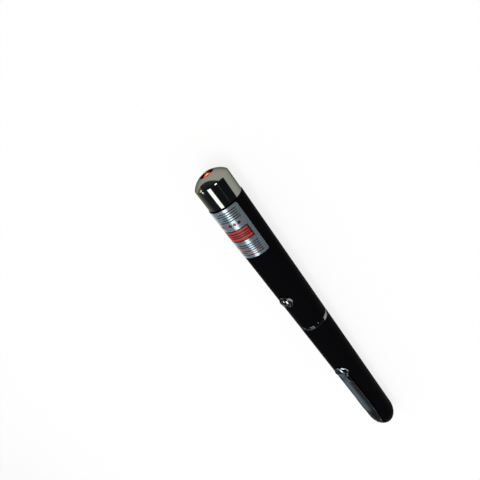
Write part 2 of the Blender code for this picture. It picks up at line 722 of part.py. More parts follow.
# Trimmer: a square base with a slotted rotor.
def make_trimmer(x):
    base_height = BOARD_TOP + PRESS_GAP + TRIMMER_BASE
    base_size = (TRIMMER_SIDE, TRIMMER_SIDE, TRIMMER_BASE)
    trimmer = place_piece(
        "current_trimmer", block(base_size, (x, 0, base_height - TRIMMER_BASE / 2), CHIP_EDGE), TRIMMER_BLUE
    )
    top = base_height + TRIMMER_ROTOR_HEIGHT
    rotor_outline = [
        (base_height - TRIMMER_BASE / 2, 0),
        (base_height - TRIMMER_BASE / 2, TRIMMER_ROTOR_RADIUS),
        (top, TRIMMER_ROTOR_RADIUS),
        (top, 0),
    ]
    rotor = tool_piece("trimmer_rotor", turn_upright(rotor_outline, SMALL_SIDES))
    rotor.location.x = x
    join(trimmer, rotor)
    slot_size = (2 * TRIMMER_ROTOR_RADIUS + OVERRUN, TRIMMER_SLOT, TRIMMER_ROTOR_HEIGHT)
    slot = tool_piece("trimmer_slot", block(slot_size, (x, 0, top)))
    cut(trimmer, slot)


def make_tray(start):
    outer = FRONT_BORE - SEAT_GAP
    end = BUTTON_AT + SWITCH_SIDE / 2
    outline = [(start, outer - TRAY_WALL), (start, outer), (end, outer), (end, outer - TRAY_WALL)]
    tray = place_piece("board_carrier", turn_lengthwise(outline, BARREL_SIDES), TRAY_PLASTIC)
    reach = outer + OVERRUN
    bottom = BOARD_BOTTOM - SEAT_GAP
    size = (end - start + 2 * OVERRUN, 2 * reach, reach - bottom)
    upper = tool_piece("tray_opening", block(size, (x_of((start + end) / 2), 0, (reach + bottom) / 2)))
    cut(tray, upper)


# Front battery contact: a plate on the board's end and the spring that pushes the cells back.
def make_front_contact():
    end = PLATE_START + PLATE_THICKNESS
    outline = [(PLATE_START, 0), (PLATE_START, PLATE_RADIUS), (end, PLATE_RADIUS), (end, 0)]
    place_piece("contact_plate", turn_lengthwise(outline, ROUND_SIDES), NICKEL)
    places = (SPRING_START, SPRING_START + SPRING_LENGTH)
    coil("contact_spring", places, (SPRING_WIDE, SPRING_NARROW), SPRING_TURNS, SPRING_WIRE)


# Two cells, each a drawn can with a nub and a printed film jacket round it.
def make_cells():
    for number, name in zip(range(CELL_COUNT), ("front", "rear")):
        start = CELLS_START + number * (CELL_LENGTH + SEAT_GAP)
        end = start + CELL_LENGTH
        jacket_inner = CELL_RADIUS - JACKET_THICKNESS
        can_radius = jacket_inner - PRESS_GAP
        neck = start + NUB_HEIGHT
        can_outline = [
            (start, 0),
            (start, NUB_RADIUS - NUB_EDGE),
            (start + NUB_EDGE, NUB_RADIUS),
            (neck, NUB_RADIUS),
            (neck, can_radius - CAN_SHOULDER),
            (neck + CAN_SHOULDER, can_radius),
            (end - CELL_EDGE, can_radius),
            (end, can_radius - CELL_EDGE),
            (end, 0),
        ]
        place_piece(f"{name}_cell_can", turn_lengthwise(can_outline, ROUND_SIDES), STEEL)
        first = neck + JACKET_SHORT
        last = end - JACKET_SHORT
        jacket_outline = [
            (first, jacket_inner),
            (first, CELL_RADIUS),
            (last, CELL_RADIUS),
            (last, jacket_inner),
        ]
        place_piece(f"{name}_cell_jacket", turn_lengthwise(jacket_outline, ROUND_SIDES), JACKET_FILM)


# A helical ridge of the screw thread between two places. Each profile point is an offset
# along the pen and a radius. Every ridge made here lies on the same helix.
def helix(profile, start, end):
    turns = (end - start) / THREAD_PITCH
    count = math.ceil(turns * THREAD_STEPS)
    rings = []
    for k in range(count + 1):
        place = end - (end - start) * k / count
        angle = 2 * math.pi * (RING_END - place) / THREAD_PITCH
        rings.append(
            [(x_of(place) + shift, r * math.sin(-angle), r * math.cos(angle)) for shift, r in profile]
        )
    return loft(rings)


# Half width of the thread's ridge at a radius.
def ridge_half_width(radius):
    rise = (radius - CORE_RADIUS) / THREAD_DEPTH
    return THREAD_PITCH * (RIDGE_BASE_SHARE + (RIDGE_CREST_SHARE - RIDGE_BASE_SHARE) * rise)


def thread_profile(low, high, clearance):
    low_half = ridge_half_width(low) + clearance
    high_half = ridge_half_width(high) + clearance
    return [(-low_half, low), (low_half, low), (high_half, high), (-high_half, high)]


# Coupler: skirt in the front barrel, seat for the ring, and the outer thread behind it.
def make_coupler():
    skirt = FRONT_BORE - PRESS_GAP
    outline = [
        (COUPLER_START, BORE),
        (COUPLER_START, skirt),
        (RING_END, skirt),
        (RING_END, CORE_RADIUS),
        (COUPLER_END, CORE_RADIUS),
        (COUPLER_END, BORE),
    ]
    coupler = place_piece("threaded_coupler", turn_lengthwise(outline, BARREL_SIDES), BRASS)
    root = CORE_RADIUS - COUPLER_WALL / 3
    profile = thread_profile(root, CREST_RADIUS, 0)
    ridge = helix(profile, RING_END + THREAD_START, COUPLER_END - THREAD_RUNOUT)
    join(coupler, tool_piece("coupler_thread", ridge))


def make_ring():
    outline = [
        (RING_START, FRONT_BORE),
        (RING_START, skin(RING_START) - RING_INSET),
        (RING_END, skin(RING_END) - RING_INSET),
        (RING_END, FRONT_BORE),
    ]
    place_piece("centre_ring", turn_lengthwise(outline, BARREL_SIDES), CHROME)


# Rear barrel: tapered skin with a rounded end, inner thread at its mouth, slot for the clip.
def make_rear_barrel():
    thread_end = COUPLER_END + THREAD_RUNOUT
    lip = PLUG_HOLE + PLUG_LIP
    outline = [
        (REAR_START, LAND_RADIUS),
        (REAR_START, skin(REAR_START)),
        *dome_points(TAIL_RADIUS, lip, DOME_STEPS),
        (dome_place(lip), PLUG_HOLE),
        (BORE_END, PLUG_HOLE),
        (BORE_END, BORE - BORE_CHAMFER),
        (BORE_END - BORE_CHAMFER, BORE),
        (thread_end, BORE),
        (thread_end, LAND_RADIUS),
    ]
    barrel = place_piece("rear_barrel", turn_lengthwise(outline, BARREL_SIDES), BLACK_PAINT)
    floor = CREST_RADIUS + THREAD_CLEARANCE
    profile = thread_profile(CORE_RADIUS, floor, FLANK_CLEARANCE)
    groove = helix(profile, REAR_START - OVERRUN, COUPLER_END - THREAD_RUNOUT + FLANK_CLEARANCE)
    cut(barrel, tool_piece("barrel_thread", groove))
    length = CLIP_THICKNESS + 2 * CLIP_TAB_CLEARANCE
    width = 2 * (CLIP_TAB_HALF_WIDTH + CLIP_TAB_CLEARANCE)
    low = BORE - OVERRUN
    high = TAIL_RADIUS + OVERRUN
    slot = tool_piece("clip_slot", block((length, width, high - low), (0, 0, (low + high) / 2)))
    slot.location.x = x_of(DOME_START + CLIP_ROOT_PAST_DOME)
    slot.rotation_euler.x = CLIP_TURN
    cut(barrel, slot)


# End plug and the contact disc in front of it.
def make_tail():
    radius = PLUG_HOLE - PRESS_GAP
    outline = [(PLUG_FACE, 0), (PLUG_FACE, radius)] + dome_points(radius, 0, DOME_STEPS // 2)
    outline[-1] = (PEN_LENGTH, 0)
    place_piece("tail_plug", turn_lengthwise(outline, BARREL_SIDES), BLACK_PAINT)
    disc = PLUG_HOLE - TAIL_CONTACT_GAP
    end = BORE_END + TAIL_CONTACT_THICKNESS
    disc_outline = [(BORE_END, 0), (BORE_END, disc), (end, disc), (end, 0)]
    place_piece("tail_contact", turn_lengthwise(disc_outline, ROUND_SIDES), NICKEL)


def ease(share):
    share = min(1, max(0, share))
    return share * share * (3 - 2 * share)


# Half width of the clip at a distance in front of its root.
def clip_half_width(ahead):
    bulb_centre = CLIP_LENGTH - CLIP_BULB_RADIUS
    if ahead > bulb_centre:
        return math.sqrt(max(0, CLIP_BULB_RADIUS**2 - (ahead - bulb_centre) ** 2))
    root = CLIP_TAB_HALF_WIDTH
    strip = root + (CLIP_HALF_WIDTH - root) * ease((ahead - CLIP_BEND) / CLIP_RISE_LENGTH)
    neck_place = bulb_centre - CLIP_BULB_RADIUS
    necked = ease((ahead - (neck_place - CLIP_NECK_BLEND)) / CLIP_NECK_BLEND)
    narrow = strip + (CLIP_NECK_HALF_WIDTH - CLIP_HALF_WIDTH) * necked
    if ahead < neck_place:
        return narrow
    return narrow + (CLIP_BULB_RADIUS - narrow) * ease((ahead - neck_place) / CLIP_BULB_RADIUS)


# Heights of the clip's underside and top above the pen's axis, at a distance in front of its root.
def clip_heights(ahead, root_place):
    under = skin(min(root_place - ahead, DOME_START))
    risen = ease(ahead / CLIP_RISE_LENGTH)
    gap = CLIP_ROOT_GAP + (CLIP_GAP - CLIP_ROOT_GAP) * risen
    top = under + gap + CLIP_THICKNESS
    bulb_centre = CLIP_LENGTH - CLIP_BULB_RADIUS
    from_bulb = abs(ahead - bulb_centre) / (2 * CLIP_BULB_RADIUS)
    bottom = under + gap - (CLIP_GAP - CLIP_TOUCH_GAP) * (1 - ease(from_bulb))
    past = max(0, ahead - bulb_centre) / CLIP_BULB_RADIUS
    roundness = math.sqrt(max(0, 1 - past**2))
    middle = (top + bottom) / 2
    half = (top - bottom) / 2 * roundness
    return middle - half, middle + half


# One section of the clip, square to a path that leans back from level by an angle.
def clip_section(x, z, lean, half_width, half_thickness):
    ring = []
    for k in range(CLIP_SECTION_POINTS):
        angle = 2 * math.pi * (k + 1 / 2) / CLIP_SECTION_POINTS
        across = math.copysign(abs(math.cos(angle)) ** CLIP_CORNER_SHARE, math.cos(angle)) * half_width
        up = math.copysign(abs(math.sin(angle)) ** CLIP_CORNER_SHARE, math.sin(angle)) * half_thickness
        ring.append((x - up * math.sin(lean), across, z + up * math.cos(lean)))
    return ring


# Clip: a tab in the barrel's slot, a tight bend, a long strip and a rounded bulb that presses
# on the barrel. Its origin is in the slot, where it bends when the bulb is lifted.
def make_clip():
    root_place = DOME_START + CLIP_ROOT_PAST_DOME
    pivot_height = TAIL_RADIUS - TAIL_WALL / 2
    half_thickness = CLIP_THICKNESS / 2
    bottom, top = clip_heights(CLIP_BEND, root_place)
    bend_height = (top + bottom) / 2 - CLIP_BEND
    tab_end = BORE + SEAT_GAP
    rings = [clip_section(0, tab_end, math.pi / 2, CLIP_TAB_HALF_WIDTH, half_thickness)]
    for k in range(CLIP_BEND_STEPS):
        lean = math.pi / 2 * (1 - k / CLIP_BEND_STEPS)
        x = CLIP_BEND * (1 - math.sin(lean))
        z = bend_height + CLIP_BEND * math.cos(lean)
        rings.append(clip_section(x, z, lean, CLIP_TAB_HALF_WIDTH, half_thickness))
    bulb_centre = CLIP_LENGTH - CLIP_BULB_RADIUS
    neck_place = bulb_centre - CLIP_BULB_RADIUS
    strip_shares = [k / CLIP_STRIP_STEPS for k in range(CLIP_STRIP_STEPS)]
    distances = [CLIP_BEND + (neck_place - CLIP_BEND) * share for share in strip_shares]
    bulb_angles = [math.pi * k / CLIP_BULB_STEPS for k in range(CLIP_BULB_STEPS)]
    bulb_angles.append(math.pi * CLIP_TIP_SHARE)
    distances += [bulb_centre - CLIP_BULB_RADIUS * math.cos(angle) for angle in bulb_angles]
    for ahead in distances:
        bottom, top = clip_heights(ahead, root_place)
        half = (top - bottom) / 2
        rings.append(clip_section(ahead, (top + bottom) / 2, 0, clip_half_width(ahead), half))
    lowered = [[(x, y, z - pivot_height) for x, y, z in ring] for ring in rings]
    clip = place_piece("pocket_clip", loft(lowered), CHROME)
    turned = Matrix.Rotation(CLIP_TURN, 3, "X") @ Vector((0, 0, pivot_height))
    clip.location = (x_of(root_place), turned.y, turned.z)
    clip.rotation_euler.x = CLIP_TURN


make_head()
make_front_barrel()
make_label()
make_bezel()
make_button()
make_switch()
make_module()
make_board()
make_front_contact()
make_cells()
make_coupler()
make_ring()
make_rear_barrel()
make_tail()
make_clip()
print(f"pen length {PEN_LENGTH:.5f}, tilt {PEN_TILT:.6f}, axis height {AXIS_HEIGHT:.7f}")
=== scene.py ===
import json
import math

import bmesh
import bpy
from mathutils import Matrix, Vector


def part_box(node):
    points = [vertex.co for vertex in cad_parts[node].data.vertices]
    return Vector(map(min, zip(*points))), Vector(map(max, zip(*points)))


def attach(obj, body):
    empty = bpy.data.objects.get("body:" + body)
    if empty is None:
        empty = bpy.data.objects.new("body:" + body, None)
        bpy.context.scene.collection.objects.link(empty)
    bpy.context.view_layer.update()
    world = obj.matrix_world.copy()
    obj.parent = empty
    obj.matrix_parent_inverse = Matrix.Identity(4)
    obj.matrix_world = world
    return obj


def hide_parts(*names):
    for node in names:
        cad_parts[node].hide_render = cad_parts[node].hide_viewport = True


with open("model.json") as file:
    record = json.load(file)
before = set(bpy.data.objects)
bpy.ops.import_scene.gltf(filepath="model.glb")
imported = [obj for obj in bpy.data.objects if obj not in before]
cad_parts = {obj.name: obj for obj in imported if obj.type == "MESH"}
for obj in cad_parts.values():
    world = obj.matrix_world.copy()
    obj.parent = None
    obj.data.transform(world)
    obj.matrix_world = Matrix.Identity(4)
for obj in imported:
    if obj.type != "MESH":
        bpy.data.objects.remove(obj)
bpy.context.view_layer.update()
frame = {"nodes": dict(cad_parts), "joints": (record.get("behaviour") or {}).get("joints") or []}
print("frame loaded:", len(frame["nodes"]), "nodes")

# Shapes are made in millimetres in the pen's own frame: X towards the nose, Z up through the button,
# the pen's axis through the origin. Places along it are given as millimetres behind the nose.
joints = {joint["name"]: joint for joint in frame["joints"]}
screwJoint, clipJoint = joints["barrel_unscrew"], joints["clip_flex"]
forward = -Vector(screwJoint["axis"]).normalized()
across = Vector((0, 1, 0))
penMatrix = (
    Matrix.Translation(screwJoint["pos_m"])
    @ Matrix((forward, across, forward.cross(across))).transposed().to_4x4()
    @ Matrix.Scale(0.001, 4)
)
penPoints = {
    name: [penMatrix.inverted() @ vertex.co for vertex in node.data.vertices]
    for name, node in frame["nodes"].items()
}
halfLength = max(point.x for point in penPoints["chrome_head"])
flatShare = math.cos(math.pi / 48)  # from corners to flats: the frame's round pieces have 48 flats
hair = 0.01  # tolerance for reading places off the frame
mergeDistance = 0.0005  # points closer than this become one
longestArc = 0.49  # an arc takes up less than half of the side that it rounds off
windingTip = 0.35  # what is left of a winding's thickness at its ends
lengthwise = Matrix(((0, 0, -1, halfLength), (0, 1, 0, 0), (1, 0, 0, 0), (0, 0, 0, 1)))

# each frame piece's points as places behind the nose and radii round the pen's axis
profiles = {
    name: [(halfLength - p.x, math.hypot(p.y, p.z) * flatShare) for p in points]
    for name, points in penPoints.items()
}


def span(node):
    # first and last place of a frame piece behind the nose
    places = [behind for behind, radius in profiles[node]]
    return min(places), max(places)


def radiiAt(node, behind, reach=hair):
    # radii of a frame piece near a place behind the nose
    return [radius for place, radius in profiles[node] if abs(place - behind) < reach]


frontStart, frontEnd = span("front_barrel")
penLength = span("tail_plug")[1]
skinBack = max(radiiAt("front_barrel", frontEnd))
widestPlace, skinFront = max(profiles["front_barrel"], key=lambda point: point[1])
skinSlope = (skinFront - skinBack) / (frontEnd - widestPlace)


def skin(behind):
    # radius of the tapering barrels
    return skinBack + skinSlope * (frontEnd - behind)


def ease(share):
    # a share from 0 to 1 with a soft start and end
    share = min(1, max(0, share))
    return share * share * (3 - 2 * share)


def linear(hexColour):
    # sRGB hex to the linear colour that a shader takes
    parts = [int(hexColour[k : k + 2], 16) / 255 for k in (1, 3, 5)]
    return tuple(c / 12.92 if c <= 0.04045 else ((c + 0.055) / 1.055) ** 2.4 for c in parts) + (1,)


def fill(node, values):
    # sockets are linked, a node stands for its first output, and the rest sets sockets or settings
    for name, value in values.items():
        value = value.outputs[0] if isinstance(value, bpy.types.Node) else value
        if isinstance(value, bpy.types.NodeSocket):
            node.id_data.links.new(value, node.inputs[name])
        elif isinstance(name, int) or name in node.inputs:
            node.inputs[name].default_value = value
        else:
            setattr(node, name, value)
    return node


def addNode(tree, kind, values=()):
    return fill(tree.nodes.new(kind), dict(values))


def newMaterial(name, values):
    material = bpy.data.materials.new(name)
    material.use_nodes = True
    tree = material.node_tree
    return material, tree, fill(tree.nodes["Principled BSDF"], values)


def speckle(tree, grain, detail=2.0, stretch=(1, 1, 1)):
    # noise on the piece itself, its grain given in millimetres and stretched along the axes
    place = addNode(tree, "ShaderNodeTexCoord").outputs["Object"]
    stretched = addNode(tree, "ShaderNodeMapping", {"Vector": place, "Scale": stretch})
    return addNode(tree, "ShaderNodeTexNoise", {
        "Vector": stretched, "Scale": 1000 / grain, "Detail": detail, "Roughness": 0.55,
    })


def spread(tree, noise, low, high):
    # noise between a third and two thirds spread over a wanted range
    return addNode(tree, "ShaderNodeMapRange", {
        "Value": noise, "From Min": 0.33, "From Max": 0.67, "To Min": low, "To Max": high,
    })


def relief(tree, height, depth, strength=1.0):
    # bump of a given depth in millimetres
    return addNode(tree, "ShaderNodeBump", {"Height": height, "Strength": strength, "Distance": depth / 1000})


def mottled(tree, first, second, grain=3.0):
    # two hex colours that cloud into each other
    clouds = spread(tree, speckle(tree, grain), 0, 1)
    return addNode(tree, "ShaderNodeMix", {
        "data_type": "RGBA", 0: clouds, 6: linear(first), 7: linear(second),
    }).outputs[2]


def band(tree, value, first, last):
    # mask that is 1 where a value lies between two others, else 0
    middle, half = (first + last) / 2, (last - first) / 2
    return addNode(tree, "ShaderNodeMath", {"operation": "COMPARE", 0: value, 1: middle, 2: half})


def combined(tree, operation, masks):
    # MULTIPLY keeps what all masks cover, MAXIMUM what any of them covers
    whole = masks[0]
    for mask in masks[1:]:
        whole = addNode(tree, "ShaderNodeMath", {"operation": operation, 0: whole, 1: mask})
    return whole


def satinBlackPaint(sizes):
    # steel tube, sprayed satin black and baked: deep black, a faint soft sheen, fine orange peel
    material, tree, shader = newMaterial("satinBlackPaint", {
        "Base Color": linear(sizes["colour"]), "IOR": 1.5, "Specular IOR Level": sizes["sheen"],
        "Specular Tint": linear(sizes["edgeColour"]),
    })
    peel = speckle(tree, sizes["peelGrain"], detail=3)
    fill(shader, {
        "Roughness": spread(tree, speckle(tree, sizes["cloudGrain"]), *sizes["roughness"]),
        "Normal": relief(tree, peel, sizes["peelDepth"]),
    })
    return material


def chromePlate(name, colour, edgeColour, roughness, wipeGrain, rippleGrain, rippleDepth):
    # brass, polished and plated with dark chrome: a mirror with hair-fine wipe marks along the pen
    material, tree, shader = newMaterial(name, {
        "Base Color": linear(colour), "Metallic": 1.0, "Specular Tint": linear(edgeColour),
    })
    fill(shader, {
        "Roughness": spread(tree, speckle(tree, wipeGrain, detail=4, stretch=(0.08, 1, 1)), *roughness),
        "Normal": relief(tree, speckle(tree, rippleGrain, detail=1), rippleDepth, strength=0.5),
    })
    return material


def drawnMetal(name, colour, tarnish, roughness, markGrain, markStretch, markDepth):
    # turned or drawn metal: tool marks round or along it, and slightly uneven tarnish
    material, tree, shader = newMaterial(name, {"Metallic": 1.0})
    marks = speckle(tree, markGrain, detail=3, stretch=markStretch)
    fill(shader, {
        "Base Color": mottled(tree, colour, tarnish), "Roughness": spread(tree, marks, *roughness),
        "Normal": relief(tree, marks, markDepth),
    })
    return material


def mouldedPlastic(name, colour, shade, sheen, roughness, grain, grainDepth):
    # injection-moulded plastic: even colour, a fine spark-eroded grain from the mould
    material, tree, shader = newMaterial(name, {"IOR": 1.5, "Specular IOR Level": sheen})
    pits = speckle(tree, grain, detail=3)
    fill(shader, {
        "Base Color": mottled(tree, colour, shade, grain=2.5),
        "Roughness": spread(tree, pits, *roughness), "Normal": relief(tree, pits, grainDepth),
    })
    return material


labelPrint = {
    "foil": "#A5B7C1",
    "ink": "#17181E",
    "red": "#C92A1C",
    "shine": 0.72,  # how much of the bare foil answers as metal
    "roughness": (0.24, 0.32),
    "inkRoughness": 0.45,
    "grain": 0.25,
    "grainDepth": 0.001,
    # groups of fine lines: first line, pitch, lines, half width, left end, right end, in millimetres
    "lineGroups": [(1.4, 0.95, 5, 0.2, -6.9, 2.4), (17.0, 0.95, 6, 0.2, -6.6, 5.4)],
    "raggedness": 2.6,  # how far the ends of the lines differ
    # row of diamonds: middle along, pitch round, half size, half length of the row
    "diamonds": (7.1, 1.9, 0.82, 6.4),
    # panel and rule, then the stripes on the panel and two lines: front, back, left, right
    "blackBlocks": [(9.4, 14.9, -7.0, 5.9), (15.53, 15.67, -7.0, 5.9)],
    "redBlocks": [
        (9.93, 10.77, -6.4, 5.1), (11.34, 11.86, -6.4, 5.1), (12.39, 12.71, -6.4, 5.1),
        (13.25, 14.25, -6.4, 5.1), (18.7, 19.1, -1.2, 3.6), (20.6, 21.0, -4.9, 0.3),
    ],
}


def printedFoil(sizes):
    # thin aluminium foil, grained lacquer, screen-printed inks: bluish silver, matt black and red
    material, tree, shader = newMaterial("printedFoil", {"Specular IOR Level": 0.4})
    flat = addNode(tree, "ShaderNodeUVMap", {"uv_map": "labelFlat"})
    along, around = addNode(tree, "ShaderNodeSeparateXYZ", {0: flat}).outputs[:2]

    def block(front, back, left, right):
        return combined(tree, "MULTIPLY", [band(tree, along, front, back), band(tree, around, left, right)])

    def lineGroup(first, pitch, count, halfWidth, left, right):
        # rows of fine lines, each row ending somewhere else
        toRow = {"operation": "MULTIPLY_ADD", 0: along, 1: 1 / pitch, 2: 0.5 - first / pitch}
        row = addNode(tree, "ShaderNodeMath", toRow)
        inRow = addNode(tree, "ShaderNodeMath", {"operation": "FRACT", 0: row})
        number = addNode(tree, "ShaderNodeMath", {"operation": "FLOOR", 0: row})
        chance = addNode(tree, "ShaderNodeTexWhiteNoise", {"noise_dimensions": "1D", "W": number})
        toEnd = {"operation": "MULTIPLY_ADD", 0: chance, 1: sizes["raggedness"], 2: around}
        drawnOut = addNode(tree, "ShaderNodeMath", toEnd)
        return combined(tree, "MULTIPLY", [
            band(tree, row, 0, count),
            band(tree, inRow, 0.5 - halfWidth / pitch, 0.5 + halfWidth / pitch),
            addNode(tree, "ShaderNodeMath", {"operation": "GREATER_THAN", 0: around, 1: left}),
            addNode(tree, "ShaderNodeMath", {"operation": "LESS_THAN", 0: drawnOut, 1: right}),
        ])

    middle, pitch, size, reach = sizes["diamonds"]
    shifted = addNode(tree, "ShaderNodeMath", {"operation": "ADD", 0: around, 1: pitch / 2})
    fromColumn = addNode(tree, "ShaderNodeMath", {"operation": "PINGPONG", 0: shifted, 1: pitch / 2})
    fromMiddle = addNode(tree, "ShaderNodeMath", {"operation": "SUBTRACT", 0: along, 1: middle})
    fromMiddle = addNode(tree, "ShaderNodeMath", {"operation": "ABSOLUTE", 0: fromMiddle})
    away = addNode(tree, "ShaderNodeMath", {"operation": "ADD", 0: fromColumn, 1: fromMiddle})
    diamonds = combined(tree, "MULTIPLY", [band(tree, away, -size, size), band(tree, around, -reach, reach)])
    inPair = addNode(tree, "ShaderNodeMath", {"operation": "FLOORED_MODULO", 0: around, 1: 2 * pitch})
    redDiamonds = combined(tree, "MULTIPLY", [diamonds, band(tree, inPair, 0, pitch)])

    lines = [lineGroup(*group) for group in sizes["lineGroups"]]
    black = combined(tree, "MAXIMUM", [*lines, *(block(*ends) for ends in sizes["blackBlocks"]), diamonds])
    red = combined(tree, "MAXIMUM", [*(block(*ends) for ends in sizes["redBlocks"]), redDiamonds])
    printed = combined(tree, "MAXIMUM", [black, red])
    inked = addNode(tree, "ShaderNodeMix", {
        "data_type": "RGBA", 0: black, 6: linear(sizes["foil"]), 7: linear(sizes["ink"]),
    })
    coloured = addNode(tree, "ShaderNodeMix", {
        "data_type": "RGBA", 0: red, 6: inked.outputs[2], 7: linear(sizes["red"]),
    })
    bare = addNode(tree, "ShaderNodeMapRange", {"Value": printed, "To Min": sizes["shine"], "To Max": 0})
    grain = speckle(tree, sizes["grain"], stretch=(0.2, 1, 1))
    foilGloss = spread(tree, grain, *sizes["roughness"])
    gloss = addNode(tree, "ShaderNodeMix", {0: printed, 2: foilGloss, 3: sizes["inkRoughness"]})
    fill(shader, {
        "Base Color": coloured.outputs[2], "Metallic": bare, "Roughness": gloss,
        "Normal": relief(tree, grain, sizes["grainDepth"], strength=0.4),
    })
    return material


def lensGlass(sizes):
    # polished glass with the laser behind it: white-hot in the middle, red towards its rim
    material, tree, shader = newMaterial("lensGlass", {
        "Base Color": linear(sizes["colour"]), "Roughness": 0.03, "IOR": 1.52, "Transmission Weight": 0.6,
        "Emission Strength": sizes["glow"],
    })
    place = addNode(tree, "ShaderNodeTexCoord").outputs["Object"]
    beside = addNode(tree, "ShaderNodeMapping", {
        "Vector": place, "Location": (0, 0, -sizes["height"]), "Scale": (0, 1, 1),
    })
    radius = addNode(tree, "ShaderNodeVectorMath", {"operation": "LENGTH", 0: beside}).outputs["Value"]
    share = addNode(tree, "ShaderNodeMapRange", {"Value": radius, "From Max": sizes["glowRadius"] / 1000})
    ramp = addNode(tree, "ShaderNodeValToRGB", {0: share})
    stops = ramp.color_ramp.elements
    for stop, colour in zip(stops, (sizes["core"], sizes["rim"])):
        stop.color = linear(colour)
    for position, colour in sizes["rings"]:
        stops.new(position).color = linear(colour)
    fill(shader, {"Emission Color": ramp})
    return material


def shrinkFilm(sizes):
    # printed shrink film on a cell: glossy dark blue with a silver band at the nub end
    material, tree, shader = newMaterial("shrinkFilm", {"IOR": 1.5, "Coat Weight": 0.3})
    place = addNode(tree, "ShaderNodeTexCoord").outputs["Object"]
    along = addNode(tree, "ShaderNodeSeparateXYZ", {0: place})
    half = sizes["bandHalf"]
    bands = [band(tree, along, (x - half) / 1000, (x + half) / 1000) for x in sizes["bandPlaces"]]
    mixed = addNode(tree, "ShaderNodeMix", {
        "data_type": "RGBA", 0: combined(tree, "MAXIMUM", bands), 6: linear(sizes["colour"]),
        7: linear(sizes["bandColour"]),
    })
    crease = speckle(tree, sizes["creaseGrain"], stretch=(0.3, 1, 1))
    fill(shader, {
        "Base Color": mixed.outputs[2], "Roughness": spread(tree, crease, *sizes["roughness"]),
        "Normal": relief(tree, crease, sizes["creaseDepth"]),
    })
    return material


def maskedLaminate(sizes):
    # glass-fibre board under green solder mask: copper tracks show through as lighter runs
    material, tree, shader = newMaterial("maskedLaminate", {"IOR": 1.5, "Coat Weight": 0.2})
    place = addNode(tree, "ShaderNodeTexCoord").outputs["Object"]
    drawn = addNode(tree, "ShaderNodeMapping", {"Vector": place, "Scale": (0.35, 1, 1)})
    cells = addNode(tree, "ShaderNodeTexVoronoi", {
        "feature": "DISTANCE_TO_EDGE", "Vector": drawn, "Scale": 1000 / sizes["trackPitch"],
    })
    track = band(tree, cells, *sizes["track"])
    mixed = addNode(tree, "ShaderNodeMix", {
        "data_type": "RGBA", 0: track, 6: linear(sizes["colour"]), 7: linear(sizes["trackColour"]),
    })
    weave = speckle(tree, sizes["weaveGrain"], detail=1)
    fill(shader, {
        "Base Color": mixed.outputs[2], "Roughness": spread(tree, weave, *sizes["roughness"]),
        "Normal": relief(tree, track, sizes["trackHeight"]),
    })
    return material


barrelPaint = satinBlackPaint({
    "colour": "#0B0B0D", "edgeColour": "#2C2C30", "sheen": 0.003, "roughness": (0.34, 0.42),
    "cloudGrain": 6.0, "peelGrain": 0.45, "peelDepth": 0.004,
})
# colour, edge colour, roughness, grain of the wipe marks, grain and depth of the ripple
chromes = {
    "darkChromePlate": ("#8C8E83", "#94978F", (0.05, 0.09), 0.5, 1.5, 0.0015),
    "ringChromePlate": ("#8E8F8B", "#70736F", (0.07, 0.12), 0.3, 0.8, 0.002),
    "clipChromePlate": ("#8D949A", "#70767A", (0.08, 0.14), 0.4, 1.2, 0.0015),
    "buttonChromePlate": ("#8B8C86", "#6E6F6A", (0.06, 0.1), 0.3, 0.6, 0.001),
}
headChrome, ringChrome, clipChrome, buttonChrome = (chromePlate(name, *chromes[name]) for name in chromes)
foilLabel = printedFoil(labelPrint)
# colour, tarnish, roughness, then the tool marks' grain, stretch and depth
metals = {
    "turnedBrass": ("#D2AC5C", "#B78F45", (0.22, 0.36), 0.12, (1, 0.03, 0.03), 0.004),
    "drawnSteel": ("#BCBDBF", "#A3A4A6", (0.22, 0.36), 0.15, (0.05, 1, 1), 0.003),
    "nickelPlatedStrip": ("#C9C2B2", "#B3AA97", (0.16, 0.28), 0.2, (1, 1, 0.1), 0.003),
}
turnedBrass, drawnSteel, nickelPlate = (drawnMetal(name, *metals[name]) for name in metals)
# colour, shade, sheen, roughness, then the mould's grain and its depth
plastics = {
    "mouldedEpoxy": ("#202022", "#19191B", 0.4, (0.45, 0.6), 0.12, 0.006),
    "mouldedBlueNylon": ("#2F61A6", "#295593", 0.5, (0.32, 0.45), 0.2, 0.004),
    "mouldedBlackPlastic": ("#303032", "#29292B", 0.45, (0.48, 0.6), 0.25, 0.01),
}
chipEpoxy, blueNylon, trayPlastic = (mouldedPlastic(name, *plastics[name]) for name in plastics)
boardGreen = maskedLaminate({
    "colour": "#1F5A33", "trackColour": "#3B7C45", "trackPitch": 4.0, "track": (0.07, 0.17),
    "trackHeight": 0.03, "roughness": (0.3, 0.42), "weaveGrain": 0.3,
})
nubBand = 3.2  # middle of the silver band behind the film's front edge
bandPlaces = [1000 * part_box(which + "_cell_jacket")[1].x - nubBand for which in ("front", "rear")]
cellFilm = shrinkFilm({
    "colour": "#1B2F57", "bandColour": "#B9BDC4", "bandHalf": 3.3, "bandPlaces": bandPlaces,
    "roughness": (0.18, 0.3), "creaseGrain": 1.4, "creaseDepth": 0.01,
})
litLens = lensGlass({
    "colour": "#E8B0A8", "core": "#FFF2E6", "rim": "#3A0603", "glow": 14.0, "glowRadius": 2.5,
    "rings": ((0.22, "#FFD9C0"), (0.42, "#FF4A2A"), (0.75, "#B01808")),
    "height": (penMatrix @ Vector((halfLength - 5, 0, 0))).z,  # of the pen's axis at the lens
})
print("materials made:", len(bpy.data.materials))


